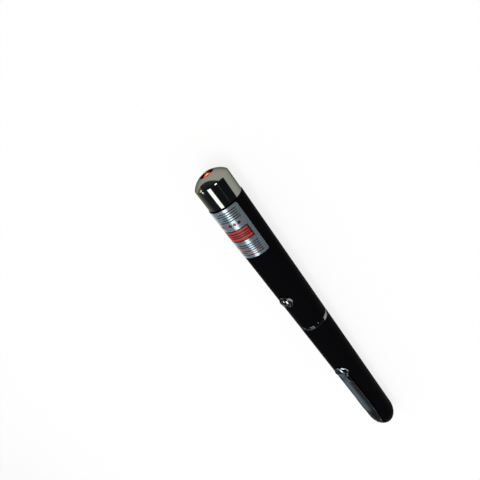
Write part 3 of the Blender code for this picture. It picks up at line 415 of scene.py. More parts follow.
def rounded(corners, steps=5):
    # an outline with each corner (along, radius, roundness) turned into a small arc
    outline = []
    for k, (along, radius, roundness) in enumerate(corners):
        corner = Vector((along, radius))
        before = Vector(corners[k - 1][:2]) - corner
        after = Vector(corners[(k + 1) % len(corners)][:2]) - corner
        if roundness == 0:
            outline.append(corner)
            continue
        half = before.angle(after) / 2
        reach = min(roundness / math.tan(half), before.length * longestArc, after.length * longestArc)
        before, after = before.normalized() * reach, after.normalized() * reach
        centre = corner + (before + after).normalized() * reach / math.cos(half)
        first, last = corner + before - centre, corner + after - centre
        turn = math.atan2(first.cross(last), first.dot(last))
        for step in range(steps + 1):
            outline.append(centre + Matrix.Rotation(turn * step / steps, 2) @ first)
    return outline


def arc(centre, along, out, first, last, steps):
    # corners on an arc between two angles off the axis, from its reach along the axis and out of it
    angles = [first + (last - first) * k / steps for k in range(steps + 1)]
    return [(centre + along * math.cos(angle), out * math.sin(angle), 0) for angle in angles]


def makeTree(name, inputs, sweep):
    # node tree with named inputs, whose swept shape becomes real geometry with its material
    tree = bpy.data.node_groups.new(name, "GeometryNodeTree")
    for label, kind in inputs.items():
        tree.interface.new_socket(label, in_out="INPUT", socket_type="NodeSocket" + kind)
    tree.interface.new_socket("Shape", in_out="OUTPUT", socket_type="NodeSocketGeometry")
    given = addNode(tree, "NodeGroupInput").outputs
    real = addNode(tree, "GeometryNodeRealizeInstances", {"Geometry": sweep(tree, given)})
    finished = addNode(tree, "GeometryNodeSetMaterial", {"Geometry": real, "Material": given["Finish"]})
    addNode(tree, "NodeGroupOutput", {0: finished})
    return tree


def turnOutline(tree, given):
    # round the Z axis: X of the outline is the radius, -Y the height
    shifted = addNode(tree, "GeometryNodeTransform", {
        "Geometry": given["Outline"], "Translation": (-1, 0, 0),
    })
    profile = addNode(tree, "GeometryNodeMeshToCurve", {"Mesh": shifted})
    path = addNode(tree, "GeometryNodeCurvePrimitiveCircle", {"Radius": 1.0, "Resolution": given["Sides"]})
    levelled = addNode(tree, "GeometryNodeSetCurveNormal", {"Curve": path, "mode": "Z_UP"})
    swept = addNode(tree, "GeometryNodeCurveToMesh", {"Curve": levelled, "Profile Curve": profile})
    return addNode(tree, "GeometryNodeMergeByDistance", {"Geometry": swept, "Distance": mergeDistance})


def windOutline(tree, given):
    # round the Z axis in a right-handed helix whose ends thin out
    path = addNode(tree, "GeometryNodeCurveSpiral", {
        "Resolution": given["Steps"], "Rotations": given["Turns"], "Start Radius": given["Radius"],
        "End Radius": given["Radius"], "Height": given["Length"], "Reverse": True,
    })
    levelled = addNode(tree, "GeometryNodeSetCurveNormal", {"Curve": path, "mode": "Z_UP"})
    share = addNode(tree, "GeometryNodeSplineParameter")
    nearest = addNode(tree, "ShaderNodeMath", {"operation": "PINGPONG", 0: share, 1: 0.5})
    risen = addNode(tree, "ShaderNodeMath", {
        "operation": "DIVIDE", "use_clamp": True, 0: nearest, 1: given["Thinning"],
    })
    eased = addNode(tree, "ShaderNodeMapRange", {"Value": risen, "To Min": windingTip})
    profile = addNode(tree, "GeometryNodeMeshToCurve", {"Mesh": given["Outline"]})
    return addNode(tree, "GeometryNodeCurveToMesh", {
        "Curve": levelled, "Profile Curve": profile, "Scale": eased, "Fill Caps": True,
    })


turningTree = makeTree("turnOutline", {
    "Outline": "Geometry", "Sides": "Int", "Finish": "Material",
}, turnOutline)
windingTree = makeTree("windOutline", {
    "Outline": "Geometry", "Turns": "Float", "Steps": "Int", "Radius": "Float", "Length": "Float",
    "Thinning": "Float", "Finish": "Material",
}, windOutline)


def newObject(name, data):
    made = bpy.data.objects.new(name, data)
    bpy.context.scene.collection.objects.link(made)
    return made


def bake(piece):
    # what the modifiers make becomes the piece's own plain mesh, closed and facing outwards
    depsgraph = bpy.context.evaluated_depsgraph_get()
    mesh = bpy.data.meshes.new_from_object(piece.evaluated_get(depsgraph))
    piece.modifiers.clear()
    piece.data = mesh
    work = bmesh.new()
    work.from_mesh(mesh)
    bmesh.ops.remove_doubles(work, verts=work.verts, dist=mergeDistance)
    bmesh.ops.recalc_face_normals(work, faces=work.faces)
    work.to_mesh(mesh)
    work.free()


def grow(name, outline, closed, tree, inputs, placement):
    # an outline as a mesh line, and a node tree that makes a solid of it
    count = len(outline)
    mesh = bpy.data.meshes.new(name)
    mesh.from_pydata(
        [(radius, -along, 0) for along, radius in outline],
        [(k, (k + 1) % count) for k in range(count if closed else count - 1)], [])
    piece = newObject(name, mesh)
    modifier = piece.modifiers.new("shape", "NODES")
    modifier.node_group = tree
    for item in tree.interface.items_tree:
        if item.name in inputs:
            modifier[item.identifier] = inputs[item.name]
    bake(piece)
    piece.data.transform(placement)
    return piece


def turned(name, corners, finish, placement=lengthwise, sides=192):
    closed = corners[0][1] > 0 or corners[-1][1] > 0
    return grow(name, rounded(corners), closed, turningTree, {"Sides": sides, "Finish": finish}, placement)


def wound(name, outline, sizes, finish, start, turn=0.0):
    placement = lengthwise @ Matrix.Translation((0, 0, start)) @ Matrix.Rotation(turn, 4, "Z")
    return grow(name, outline, True, windingTree, dict(sizes, Finish=finish), placement)


def lofted(name, rings, finish, closed=False):
    # skin over rings of points, closed round or with a cap at each end
    work = bmesh.new()
    loops = [[work.verts.new(point) for point in ring] for ring in rings]
    for near, far in zip(loops, loops[1:] + loops[:1] if closed else loops[1:]):
        for k in range(len(near)):
            work.faces.new((near[k - 1], near[k], far[k], far[k - 1]))
    for cap in () if closed else (loops[0], loops[-1]):
        work.faces.new(cap)
    bmesh.ops.recalc_face_normals(work, faces=work.faces)
    if work.calc_volume(signed=True) < 0:
        bmesh.ops.reverse_faces(work, faces=work.faces)
    mesh = bpy.data.meshes.new(name)
    work.to_mesh(mesh)
    work.free()
    mesh.materials.append(finish)
    return newObject(name, mesh)


def carve(piece, cutter):
    modifier = piece.modifiers.new("cut", "BOOLEAN")
    modifier.solver = "EXACT"
    modifier.object = cutter
    bake(piece)
    bpy.data.objects.remove(cutter)


def present(piece, body, node, sharpAngle=32):
    # from pen millimetres to the frame's metres, then onto its body
    piece.data.transform(penMatrix)
    piece.data.shade_smooth()
    piece.data.set_sharp_from_angle(angle=math.radians(sharpAngle))
    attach(piece, body)
    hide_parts(node)


headSizes = {
    "shoulderRound": 0.85,  # soft shoulder between face and side
    "edgeRound": 0.12,
    "apertureRound": 0.14,
    "spigotRound": 0.2,
    "innerRound": 0.1,
    "faceSteps": 14,
    "faceEdge": 0.4,  # how far the domed face stops short of the side
}


def makeHead(sizes):
    start, end = span("chrome_head")
    points = profiles["chrome_head"]
    side = max(radius for behind, radius in points)
    sidePlaces = [behind for behind, radius in points if radius > side - hair]
    seat, depth = max(sidePlaces), min(sidePlaces) - sizes["faceEdge"]
    rim = max(radiiAt("chrome_head", start))
    aperture = min(radiiAt("chrome_head", start, reach=1))
    wall = max(behind for behind, radius in points if radius < rim)
    spigot, bore = max(radiiAt("chrome_head", end)), min(radiiAt("chrome_head", end))
    centre = (depth**2 + (side - sizes["faceEdge"]) ** 2 - rim**2) / (2 * depth)
    reach = math.hypot(centre, rim)
    widest = math.asin((side - 2 * sizes["faceEdge"]) / reach)
    inner = sizes["innerRound"]
    corners = [
        *arc(centre, -reach, reach, math.asin(rim / reach), widest, sizes["faceSteps"]),
        (centre - math.sqrt(reach**2 - side**2), side, sizes["shoulderRound"]),
        (seat, side, sizes["edgeRound"]), (seat, spigot, inner), (end, spigot, sizes["spigotRound"]),
        (end, bore, inner), (wall, bore, 0), (wall, aperture, inner),
        (sizes["apertureRound"], aperture, sizes["apertureRound"]),
    ]
    present(turned("noseShell", corners, headChrome, sides=256), "front_body", "chrome_head")


makeHead(headSizes)
print("nose made")

buttonSizes = {
    "capRound": 0.18,  # edge where the crown meets the side
    "crown": 0.8,  # height of the domed top, and how far it stops short of the side
    "crownInset": 0.28,
    "steps": 10,
    "flangeRound": 0.08,
    "innerRound": 0.05,
    "bezelOuterRound": 0.14,
    "bezelInnerRound": 0.12,
    "bezelSteps": 160,
    "saddleGap": 0.05,
    "holeGap": 0.1,
    "holeHeights": (5.6, 9),  # the hole's cutter, from inside the barrel to over its skin
}
buttonPlace = sum(span("push_button")) / 2
buttonMatrix = Matrix.Translation((halfLength - buttonPlace, 0, 0))


def upright(node):
    # heights and radii of a frame piece that is turned round the button's upright axis
    points = [(p.z, math.hypot(p.x - halfLength + buttonPlace, p.y)) for p in penPoints[node]]
    return min(h for h, r in points), max(h for h, r in points), points


def bezelSpigot():
    low, top, points = upright("button_bezel")
    return max(radius for height, radius in points if height < low + hair)


def makeButton(sizes):
    low, top, points = upright("push_button")
    edge = top - sizes["crown"]
    radius = max(r for h, r in points if h > edge - hair)
    flange = max(r for h, r in points)
    flangeHeights = [h for h, r in points if r > flange - hair]
    first, last = min(flangeHeights), max(flangeHeights)
    foot = max(r for h, r in points if h < low + hair)
    centre = top - (sizes["crown"] ** 2 + radius**2) / (2 * sizes["crown"])
    reach = top - centre
    widest = math.asin((radius - sizes["crownInset"]) / reach)
    flat, inner = sizes["flangeRound"], sizes["innerRound"]
    corners = [
        (low, 0, 0), (low, foot, flat), (first, foot, inner), (first, flange, flat), (last, flange, flat),
        (last, radius, inner), (edge, radius, sizes["capRound"]),
        *arc(centre, reach, reach, widest, 0, sizes["steps"]),
    ]
    cap = turned("buttonCap", corners, buttonChrome, buttonMatrix, sides=128)
    present(cap, "button", "push_button")


def makeBezel(sizes):
    # a rim whose underside follows the barrel, on a short spigot that lines the hole
    low, top, points = upright("button_bezel")
    inner, outer = min(r for h, r in points), max(r for h, r in points)
    spigot, edge = bezelSpigot(), sizes["innerRound"]
    rings = []
    for k in range(sizes["bezelSteps"]):
        angle = 2 * math.pi * k / sizes["bezelSteps"]
        x, y = math.cos(angle), math.sin(angle)
        saddle = {
            radius: math.sqrt(skin(buttonPlace - x * radius) ** 2 - (y * radius) ** 2) + sizes["saddleGap"]
            for radius in (spigot, outer)
        }
        corners = [
            (low, inner, edge), (low, spigot, edge), (saddle[spigot], spigot, 0), (saddle[outer], outer, 0),
            (top, outer, sizes["bezelOuterRound"]), (top, inner, sizes["bezelInnerRound"]),
        ]
        rings.append([(x * r, y * r, h) for h, r in rounded(corners, steps=6)])
    rim = lofted("bezelRim", rings, buttonChrome, closed=True)
    rim.data.transform(buttonMatrix)
    present(rim, "front_body", "button_bezel")


makeButton(buttonSizes)
makeBezel(buttonSizes)
print("button and bezel made")

barrelSizes = {
    "mouthRound": 0.12,  # broken edges at the barrels' ends
    "boreRound": 0.1,
    "domeLength": 10.0,
    "domeSteps": 28,
    "plugSteps": 14,
    "plugHole": 4.4,
    "holeRound": 0.06,
    "plugRadius": 4.3,
    "plugRound": 0.15,
    "seatChamfer": 0.75,
    "coreRadius": 5.95,
    "coreRound": 0.15,
    "boreRadius": 5.45,
    "cornerRound": 0.05,
    "skirtRound": 0.08,
    "pitch": 0.75,
    "threadSteps": 48,
    "ridgeHeight": 0.35,
    "flankShares": (0.23, 0.13),  # the ridge's half width at its foot, and what it loses to its crest
    # thread on the coupler, and the cutter of the barrel's groove: lowest and highest over the core,
    # clearance at the flanks, how much of each end thins out
    "ridge": (-0.12, 0.35, 0, 0.03),
    "groove": (-0.1, 0.5, 0.1, 0.0001),
    "ridgeEnds": (0.5, 0.3),  # how far the ridge stops short of the ring and of the coupler's end
    "grooveEnds": (1.0, 0.5),  # how far the cutter starts before the mouth and stops before the relief
    "relief": 0.3,
    "slotLength": 1.3,
    "slotHalfWidth": 1.7,
    "slotHeights": (4.45, 8.0),
    "slotPlace": halfLength - (penMatrix.inverted() @ Vector(clipJoint["pos_m"])).x,
}
clipTurn = math.atan2(-clipJoint["axis"][2], -clipJoint["axis"][1])


def makeFrontBarrel(sizes):
    bore = min(radius for behind, radius in profiles["front_barrel"])
    corners = [
        (frontStart, bore, sizes["boreRound"]), (frontStart, skin(frontStart), sizes["mouthRound"]),
        (frontEnd, skin(frontEnd), sizes["mouthRound"]), (frontEnd, bore, sizes["boreRound"]),
    ]
    barrel = turned("frontBarrelTube", corners, barrelPaint, sides=256)
    radius = bezelSpigot() + buttonSizes["holeGap"]
    low, high = buttonSizes["holeHeights"]
    hole = [(low, 0, 0), (low, radius, 0), (high, radius, 0), (high, 0, 0)]
    carve(barrel, turned("buttonHole", hole, barrelPaint, buttonMatrix, sides=96))
    present(barrel, "front_body", "front_barrel")


def tailArc(sizes, fromRadius, toRadius, steps):
    # the rounded tail between two radii
    start = penLength - sizes["domeLength"]
    first, last = (math.asin(min(1, radius / skin(start))) for radius in (fromRadius, toRadius))
    return arc(start, sizes["domeLength"], skin(start), first, last, steps)


def threadWinding(name, start, end, form, finish, sizes):
    # a ridge whose flanks lean in, in step with the thread that starts at the ring
    low, high, clearance, thinning = form
    foot, loss = sizes["flankShares"]
    near, far = (
        sizes["pitch"] * (foot - loss * height / sizes["ridgeHeight"]) + clearance for height in (low, high)
    )
    winding = {
        "Turns": (end - start) / sizes["pitch"], "Steps": sizes["threadSteps"], "Length": end - start,
        "Radius": sizes["coreRadius"], "Thinning": thinning,
    }
    turn = 2 * math.pi * (start - span("centre_ring")[1]) / sizes["pitch"]
    return wound(name, [(-near, low), (near, low), (far, high), (-far, high)], winding, finish, start, turn)


def makeRearBarrel(sizes):
    mouth, end = span("rear_barrel")
    land = min(radiiAt("rear_barrel", mouth))
    threadEnd = span("threaded_coupler")[1] + sizes["relief"]
    seat = span("tail_contact")[0]
    bore = sizes["boreRadius"] * flatShare
    hole, edge, chamfer = sizes["plugHole"], sizes["boreRound"], sizes["seatChamfer"]
    tail = tailArc(sizes, skin(penLength - sizes["domeLength"]), hole, sizes["domeSteps"])
    corners = [
        (mouth, land, edge), (mouth, skin(mouth), sizes["mouthRound"]), *tail[:-1],
        (tail[-1][0], hole, sizes["holeRound"]), (seat, hole, 0), (seat, bore - chamfer, 0),
        (seat - chamfer, bore, 0), (threadEnd, bore, edge), (threadEnd, land, edge),
    ]
    barrel = turned("rearBarrelTube", corners, barrelPaint, sides=256)
    before, short = sizes["grooveEnds"]
    carve(barrel, threadWinding(
        "grooveCutter", mouth - before, threadEnd - short, sizes["groove"], barrelPaint, sizes))
    half, (low, high) = sizes["slotHalfWidth"], sizes["slotHeights"]
    middle, reach = halfLength - sizes["slotPlace"], sizes["slotLength"] / 2
    slot = lofted("slotCutter", [
        [(x, -half, low), (x, half, low), (x, half, high), (x, -half, high)]
        for x in (middle - reach, middle + reach)
    ], barrelPaint)
    slot.data.transform(Matrix.Rotation(clipTurn, 4, "X"))
    carve(barrel, slot)
    present(barrel, "rear_body", "rear_barrel")


def makeTailPlug(sizes):
    face = span("tail_plug")[0]
    tail = tailArc(sizes, sizes["plugRadius"], 0, sizes["plugSteps"])
    corners = [
        (face, 0, 0), (face, sizes["plugRadius"], sizes["boreRound"]), (*tail[0][:2], sizes["plugRound"]),
        *tail[1:],
    ]
    present(turned("tailPlugCap", corners, barrelPaint), "rear_body", "tail_plug")


def makeCoupler(sizes):
    start, end = span("threaded_coupler")
    ringEnd = span("centre_ring")[1]
    skirt = max(radiiAt("threaded_coupler", start))
    bore, core = sizes["boreRadius"] * flatShare, sizes["coreRadius"] * flatShare
    edge = sizes["cornerRound"]
    corners = [
        (start, bore, edge), (start, skirt, sizes["boreRound"]), (ringEnd, skirt, sizes["skirtRound"]),
        (ringEnd, core, edge), (end, core, sizes["coreRound"]), (end, bore, edge),
    ]
    present(turned("couplerTube", corners, turnedBrass), "front_body", "threaded_coupler")
    after, short = sizes["ridgeEnds"]
    ridge = threadWinding("couplerThread", ringEnd + after, end - short, sizes["ridge"], turnedBrass, sizes)
    present(ridge, "front_body", "threaded_coupler")


def makeRing(sizes):
    start, end = span("centre_ring")
    inner = min(radius for behind, radius in profiles["centre_ring"])
    near, far = (max(radiiAt("centre_ring", place)) for place in (start, end))
    edge = sizes["cornerRound"]
    corners = [(start, inner, 0), (start, near, edge), (end, far, edge), (end, inner, 0)]
    present(turned("centreBand", corners, ringChrome, sides=256), "front_body", "centre_ring")


for makePiece in (makeFrontBarrel, makeRearBarrel, makeTailPlug, makeCoupler, makeRing):
    makePiece(barrelSizes)
print("barrels, coupler, ring and tail made")

labelSizes = {
    "corner": 0.8,
    "gap": 0.03,  # glue under the foil
    "thickness": 0.1,
    "stepsRound": 96,
    "stepsAlong": 48,
}


def makeLabel(sizes):
    # a rounded patch wrapped round the barrel, with its flat places as a UV map in millimetres
    start, end = span("foil_label")
    halfTurn = max(abs(math.atan2(p.y, p.z)) for p in penPoints["foil_label"])
    corner = sizes["corner"] / skin(start)
    shares = [step / sizes["stepsAlong"] for step in range(sizes["stepsAlong"] + 1)]
    rings = []
    for k in range(sizes["stepsRound"] + 1):
        angle = halfTurn * (-1 + 2 * k / sizes["stepsRound"])
        inCorner = max(0, abs(angle) - (halfTurn - corner)) / corner
        inset = sizes["corner"] * (1 - math.sqrt(max(0, 1 - inCorner**2)))
        ring = []
        for lift, places in ((sizes["thickness"], shares), (0, shares[::-1])):
            for share in places:
                behind = start + inset + (end - start - 2 * inset) * share
                radius = skin(behind) + sizes["gap"] + lift
                ring.append((halfLength - behind, radius * math.sin(angle), radius * math.cos(angle)))
        rings.append(ring)
    label = lofted("printedLabel", rings, foilLabel)
    flat = label.data.uv_layers.new(name="labelFlat").data
    for loop in label.data.loops:
        x, y, z = label.data.vertices[loop.vertex_index].co
        flat[loop.index].uv = (halfLength - x - start, math.hypot(y, z) * math.atan2(y, z))
    present(label, "front_body", "foil_label")


makeLabel(labelSizes)
print("label made")

clipSizes = {
    "length": 45.9,
    "halfWidth": 2.55,
    "neckHalfWidth": 2.15,
    "bulbRadius": 3.2,
    "neckBlend": 26.0,
    "tipSquareness": 2.0,  # power of the curve by which the top comes down to the tip
    "thickness": 0.7,
    "sheet": 0.45,
    "gap": 1.0,  # between barrel and clip, then where the bulb comes down and at the root
    "touchGap": 0.3,
    "rootGap": 0.2,
    "riseLength": 14.0,
    "bend": 0.8,
    "bendSteps": 12,
    "tabHalfWidth": 1.4,
    "foldRoot": 0.2,  # where the flanks begin, as a share of the half width, at the root and at the bulb
    "foldBulb": 0.37,
    "foldSoft": (0.3, 0.35),  # how softly they turn down, on the strip and on the bulb
    "crease": 0.15,  # how softly the two halves meet in the middle
    "flankDrop": 0.55,
    "bulbDrop": 1.12,
    "bulbFill": 0.5,  # how much of the drop the underside loses at the bulb
    "edgeShare": 0.5,  # below 1 squares the section's corners
    "ringPoints": 72,
    "stripSteps": 60,
    "bulbSteps": 48,
    "tipAngleShare": 0.985,  # the last ring lies just short of the tip
}
bulbCentre = clipSizes["length"] - clipSizes["bulbRadius"]
neckPlace = bulbCentre - clipSizes["bulbRadius"]


def between(first, last, share):
    return first + (last - first) * share


def clipHalfWidth(ahead, sizes):
    # half width of the clip at a distance in front of its root
    bulb = sizes["bulbRadius"]
    if ahead > bulbCentre:
        return math.sqrt(max(0, bulb**2 - (ahead - bulbCentre) ** 2))
    widening = ease((ahead - sizes["bend"]) / sizes["riseLength"])
    strip = between(sizes["tabHalfWidth"], sizes["halfWidth"], widening)
    necked = ease((ahead - neckPlace) / sizes["neckBlend"] + 1)
    narrow = strip + (sizes["neckHalfWidth"] - sizes["halfWidth"]) * necked
    return between(narrow, bulb, ease((ahead - neckPlace) / bulb))


def clipHeights(ahead, sizes):
    # heights of its underside and top above the pen's axis
    root = barrelSizes["slotPlace"]
    under = skin(min(root - ahead, penLength - barrelSizes["domeLength"])) / flatShare
    gap = between(sizes["rootGap"], sizes["gap"], ease(ahead / sizes["riseLength"]))
    top = under + gap + sizes["thickness"]
    bulging = 1 - ease(abs(ahead - bulbCentre) / (2 * sizes["bulbRadius"]))
    deepest = gap + sizes["thickness"] - sizes["touchGap"]
    bottom = top - between(sizes["sheet"], deepest, bulging)
    past = max(0, ahead - bulbCentre) / sizes["bulbRadius"]
    roundness = max(0, 1 - past ** sizes["tipSquareness"]) ** (1 / sizes["tipSquareness"])
    return between(bottom, top, roundness), bottom, bulging


def clipSection(x, top, bottom, lean, halfWidth, bulging, fold, sizes):
    # a sheet with both flanks pressed down, deeper and filled at the bulb
    middle, halfThickness = (top + bottom) / 2, (top - bottom) / 2
    topDrop = between(sizes["flankDrop"], sizes["bulbDrop"], bulging)
    bottomDrop = sizes["flankDrop"] * (1 - sizes["bulbFill"] * bulging)
    softness = between(*sizes["foldSoft"], bulging)
    ring = []
    for k in range(sizes["ringPoints"]):
        angle = 2 * math.pi * (k + 0.5) / sizes["ringPoints"]
        parts = (math.cos(angle), math.sin(angle))
        share, lift = (math.copysign(abs(part) ** sizes["edgeShare"], part) for part in parts)
        past = math.hypot(share, sizes["crease"]) - fold
        folded = (past + math.hypot(past, softness)) / 2 / (1 - fold)
        height = lift * halfThickness - (topDrop if lift > 0 else bottomDrop) * folded
        ring.append((x - height * math.sin(lean), share * halfWidth, middle + height * math.cos(lean)))
    return ring


def makeClip(sizes):
    # its tab stands upright in the slot, bends over and becomes the strip and the bulb
    bend, tab, halfSheet = sizes["bend"], sizes["tabHalfWidth"], sizes["sheet"] / 2
    top, bottom, bulging = clipHeights(bend, sizes)
    bendHeight = (top + bottom) / 2 - bend
    tabEnd = min(math.hypot(p.y, p.z) for p in penPoints["pocket_clip"])
    fold, standing = sizes["foldRoot"], math.pi / 2
    flat = dict(sizes, flankDrop=0)
    rings = [clipSection(0, tabEnd + halfSheet, tabEnd - halfSheet, standing, tab, 0, fold, flat)]
    for k in range(sizes["bendSteps"]):
        share = k / sizes["bendSteps"]
        lean = standing * (1 - share)
        x, z = bend * (1 - math.sin(lean)), bendHeight + bend * math.cos(lean)
        pressed = dict(sizes, flankDrop=sizes["flankDrop"] * share**2)
        rings.append(clipSection(x, z + halfSheet, z - halfSheet, lean, tab, 0, fold, pressed))
    distances = [between(bend, neckPlace, k / sizes["stripSteps"]) for k in range(sizes["stripSteps"])]
    for share in [k / sizes["bulbSteps"] for k in range(sizes["bulbSteps"])] + [sizes["tipAngleShare"]]:
        distances.append(bulbCentre - sizes["bulbRadius"] * math.cos(math.pi * share))
    for ahead in distances:
        top, bottom, bulging = clipHeights(ahead, sizes)
        fold = between(sizes["foldRoot"], sizes["foldBulb"], min(1, ahead / neckPlace))
        rings.append(clipSection(ahead, top, bottom, 0, clipHalfWidth(ahead, sizes), bulging, fold, sizes))
    clip = lofted("clipSpringStrip", rings, clipChrome)
    root = Matrix.Translation((halfLength - barrelSizes["slotPlace"], 0, 0))
    clip.data.transform(Matrix.Rotation(clipTurn, 4, "X") @ root)
    present(clip, "clip", "pocket_clip", sharpAngle=50)


makeClip(clipSizes)
print("clip made")

moduleSizes = {
    "edge": 0.08,
    "barrelEdge": 0.15,
    "barrelWall": 0.8,
    "seatBore": 2.9,
    "webBore": 2.5,
    "webPlaces": (9.75, 12.55),  # the web in the bore, behind the module's front
    "holderBore": 2.5,
    "holderSeat": 3.1,
    "holderFloor": 1.1,
    "floorRound": 0.1,
    "lensRadius": 2.99,
    "lensEdges": (0.05, 0.1),
    "lensCrown": 0.9,
    "crownRadius": 2.35,
    "crownSteps": 12,
    "ringBore": 2.4,
    "wire": 0.2,
    "wireSides": 10,
    "springTurns": 4.0,
    "springSteps": 40,
    "springThinning": 0.0001,
    "springGap": 0.15,  # between the spring and the holder's side
}


def makeModule(sizes):
    edge, lensRadius = sizes["edge"], sizes["lensRadius"]
    start, end = span("diode_housing")
    outer = max(radiiAt("diode_housing", start))
    bore, seat, web = outer - sizes["barrelWall"], sizes["seatBore"], sizes["webBore"]
    webStart, webEnd = (start + place for place in sizes["webPlaces"])
    barrel = [
        (start, bore, edge), (start, outer, sizes["barrelEdge"]), (end, outer, sizes["barrelEdge"]),
        (end, seat, edge), (webEnd, seat, 0), (webEnd, web, 0), (webStart, web, edge), (webStart, bore, 0),
    ]
    first, last = span("lens_holder")
    rim, bore, seat = max(radiiAt("lens_holder", first)), sizes["holderBore"], sizes["holderSeat"]
    floor = first + sizes["holderFloor"]
    holder = [
        (first, bore, sizes["barrelEdge"]), (first, rim, edge), (last, rim, edge), (last, seat, edge),
        (floor, seat, 0), (floor, bore, sizes["floorRound"]),
    ]
    first, last = span("lens_ring")
    bore = sizes["ringBore"]
    ring = [(first, bore, edge), (first, lensRadius, edge), (last, lensRadius, edge), (last, bore, edge)]
    first, last = span("collimating_lens")
    crown, face = sizes["lensCrown"], sizes["crownRadius"]
    reach = (crown**2 + face**2) / (2 * crown)
    front, back = sizes["lensEdges"]
    lens = [
        *arc(first + reach, -reach, reach, 0, math.asin(face / reach), sizes["crownSteps"]),
        (first + crown, lensRadius, front), (last, lensRadius, back), (last, 0, 0),
    ]
    for name, corners, finish, node, slot in (
        ("moduleBarrel", barrel, turnedBrass, "diode_housing", "brass"),
        ("lensCell", holder, turnedBrass, "lens_holder", "brass"),
        ("lensRetainer", ring, turnedBrass, "lens_ring", "brass"),
        ("lensDome", lens, litLens, "collimating_lens", "lens_glass"),
    ):
        present(turned(name, corners, finish, sides=96), "front_body", node)

    first, last = span("lens_spring")
    wire, sides = sizes["wire"], sizes["wireSides"]
    angles = [2 * math.pi * k / sides for k in range(sides)]
    winding = {
        "Turns": sizes["springTurns"], "Steps": sizes["springSteps"], "Length": last - first - 2 * wire,
        "Radius": rim - wire - sizes["springGap"], "Thinning": sizes["springThinning"],
    }
    outline = [(wire * math.sin(angle), wire * math.cos(angle)) for angle in angles]
    spring = wound("lensCoil", outline, winding, drawnSteel, first + wire)
    present(spring, "front_body", "lens_spring", sharpAngle=60)


cellSizes = {
    # nub and shoulder of the can: place behind its front, radius, roundness
    "shoulder": (
        (0, 1.9, 0.15), (1.0, 1.9, 0.05), (1.0, 2.6, 0.1),
        (1.15, 3.0, 0.1), (1.0, 4.64, 0.1), (1.3, 4.94, 0.2),
    ),
    "foot": (4.94, 0.5),  # radius and roundness
    "film": ((5.04, 0.05), (5.24, 0.1)),  # the same inside and outside
}


def makeCells(sizes):
    for which in ("front", "rear"):
        start, end = span(which + "_cell_can")
        corners = [
            (start, 0, 0), *((start + place, radius, edge) for place, radius, edge in sizes["shoulder"]),
            (end, *sizes["foot"]), (end, 0, 0),
        ]
        can = turned(which + "CellCan", corners, drawnSteel, sides=96)
        present(can, "cell_column", which + "_cell_can")
        start, end = span(which + "_cell_jacket")
        inside, outside = sizes["film"]
        corners = [(start, *inside), (start, *outside), (end, *outside), (end, *inside)]
        film = turned(which + "CellFilm", corners, cellFilm, sides=96)
        present(film, "cell_column", which + "_cell_jacket")


contactSizes = {"edge": 0.08}


def makeContacts(sizes):
    for node, name, body in (
        ("contact_plate", "frontContactDisc", "front_body"), ("tail_contact", "tailContactDisc", "rear_body"),
    ):
        first, last = span(node)
        radius, edge = max(radiiAt(node, first)), sizes["edge"]
        corners = [(first, 0, 0), (first, radius, edge), (last, radius, edge), (last, 0, 0)]
        present(turned(name, corners, nickelPlate, sides=96), body, node)


makeModule(moduleSizes)
makeCells(cellSizes)
makeContacts(contactSizes)
frameFinishes = (
    (chipEpoxy, (
        "switch_body", "driver_transistor", "sense_resistor", "base_resistor", "smoothing_capacitor",
    )),
    (drawnSteel, ("switch_cover", "laser_diode", "contact_spring")),
    (blueNylon, ("switch_plunger", "current_trimmer")),
    (boardGreen, ("circuit_board",)),
    (trayPlastic, ("board_carrier",)),
)
for finish, nodes in frameFinishes:
    for node in nodes:
        for slot in frame["nodes"][node].material_slots:
            slot.material = finish
print("module, cells and contacts made")

studio = {
    "floorColour": "#FFFFFF",
    "floorWhiteShare": 0.8,
    "floorGlow": 1.03,
    "floorHalf": 4.0,
    "ambient": 0.62,
    "stripRadiance": 3.4,
    "stripSize": (1.27, 0.6),
    "stripPlace": (-0.365, 0, 1.6),
    "cameraPlace": (0.12142344, -0.1027298, 0.11819513),
    "cameraTurn": (-45.66306236, 22.51965450, -126.17915254),
    "cameraAngle": 58.672,
    "cardSteps": 60,
}
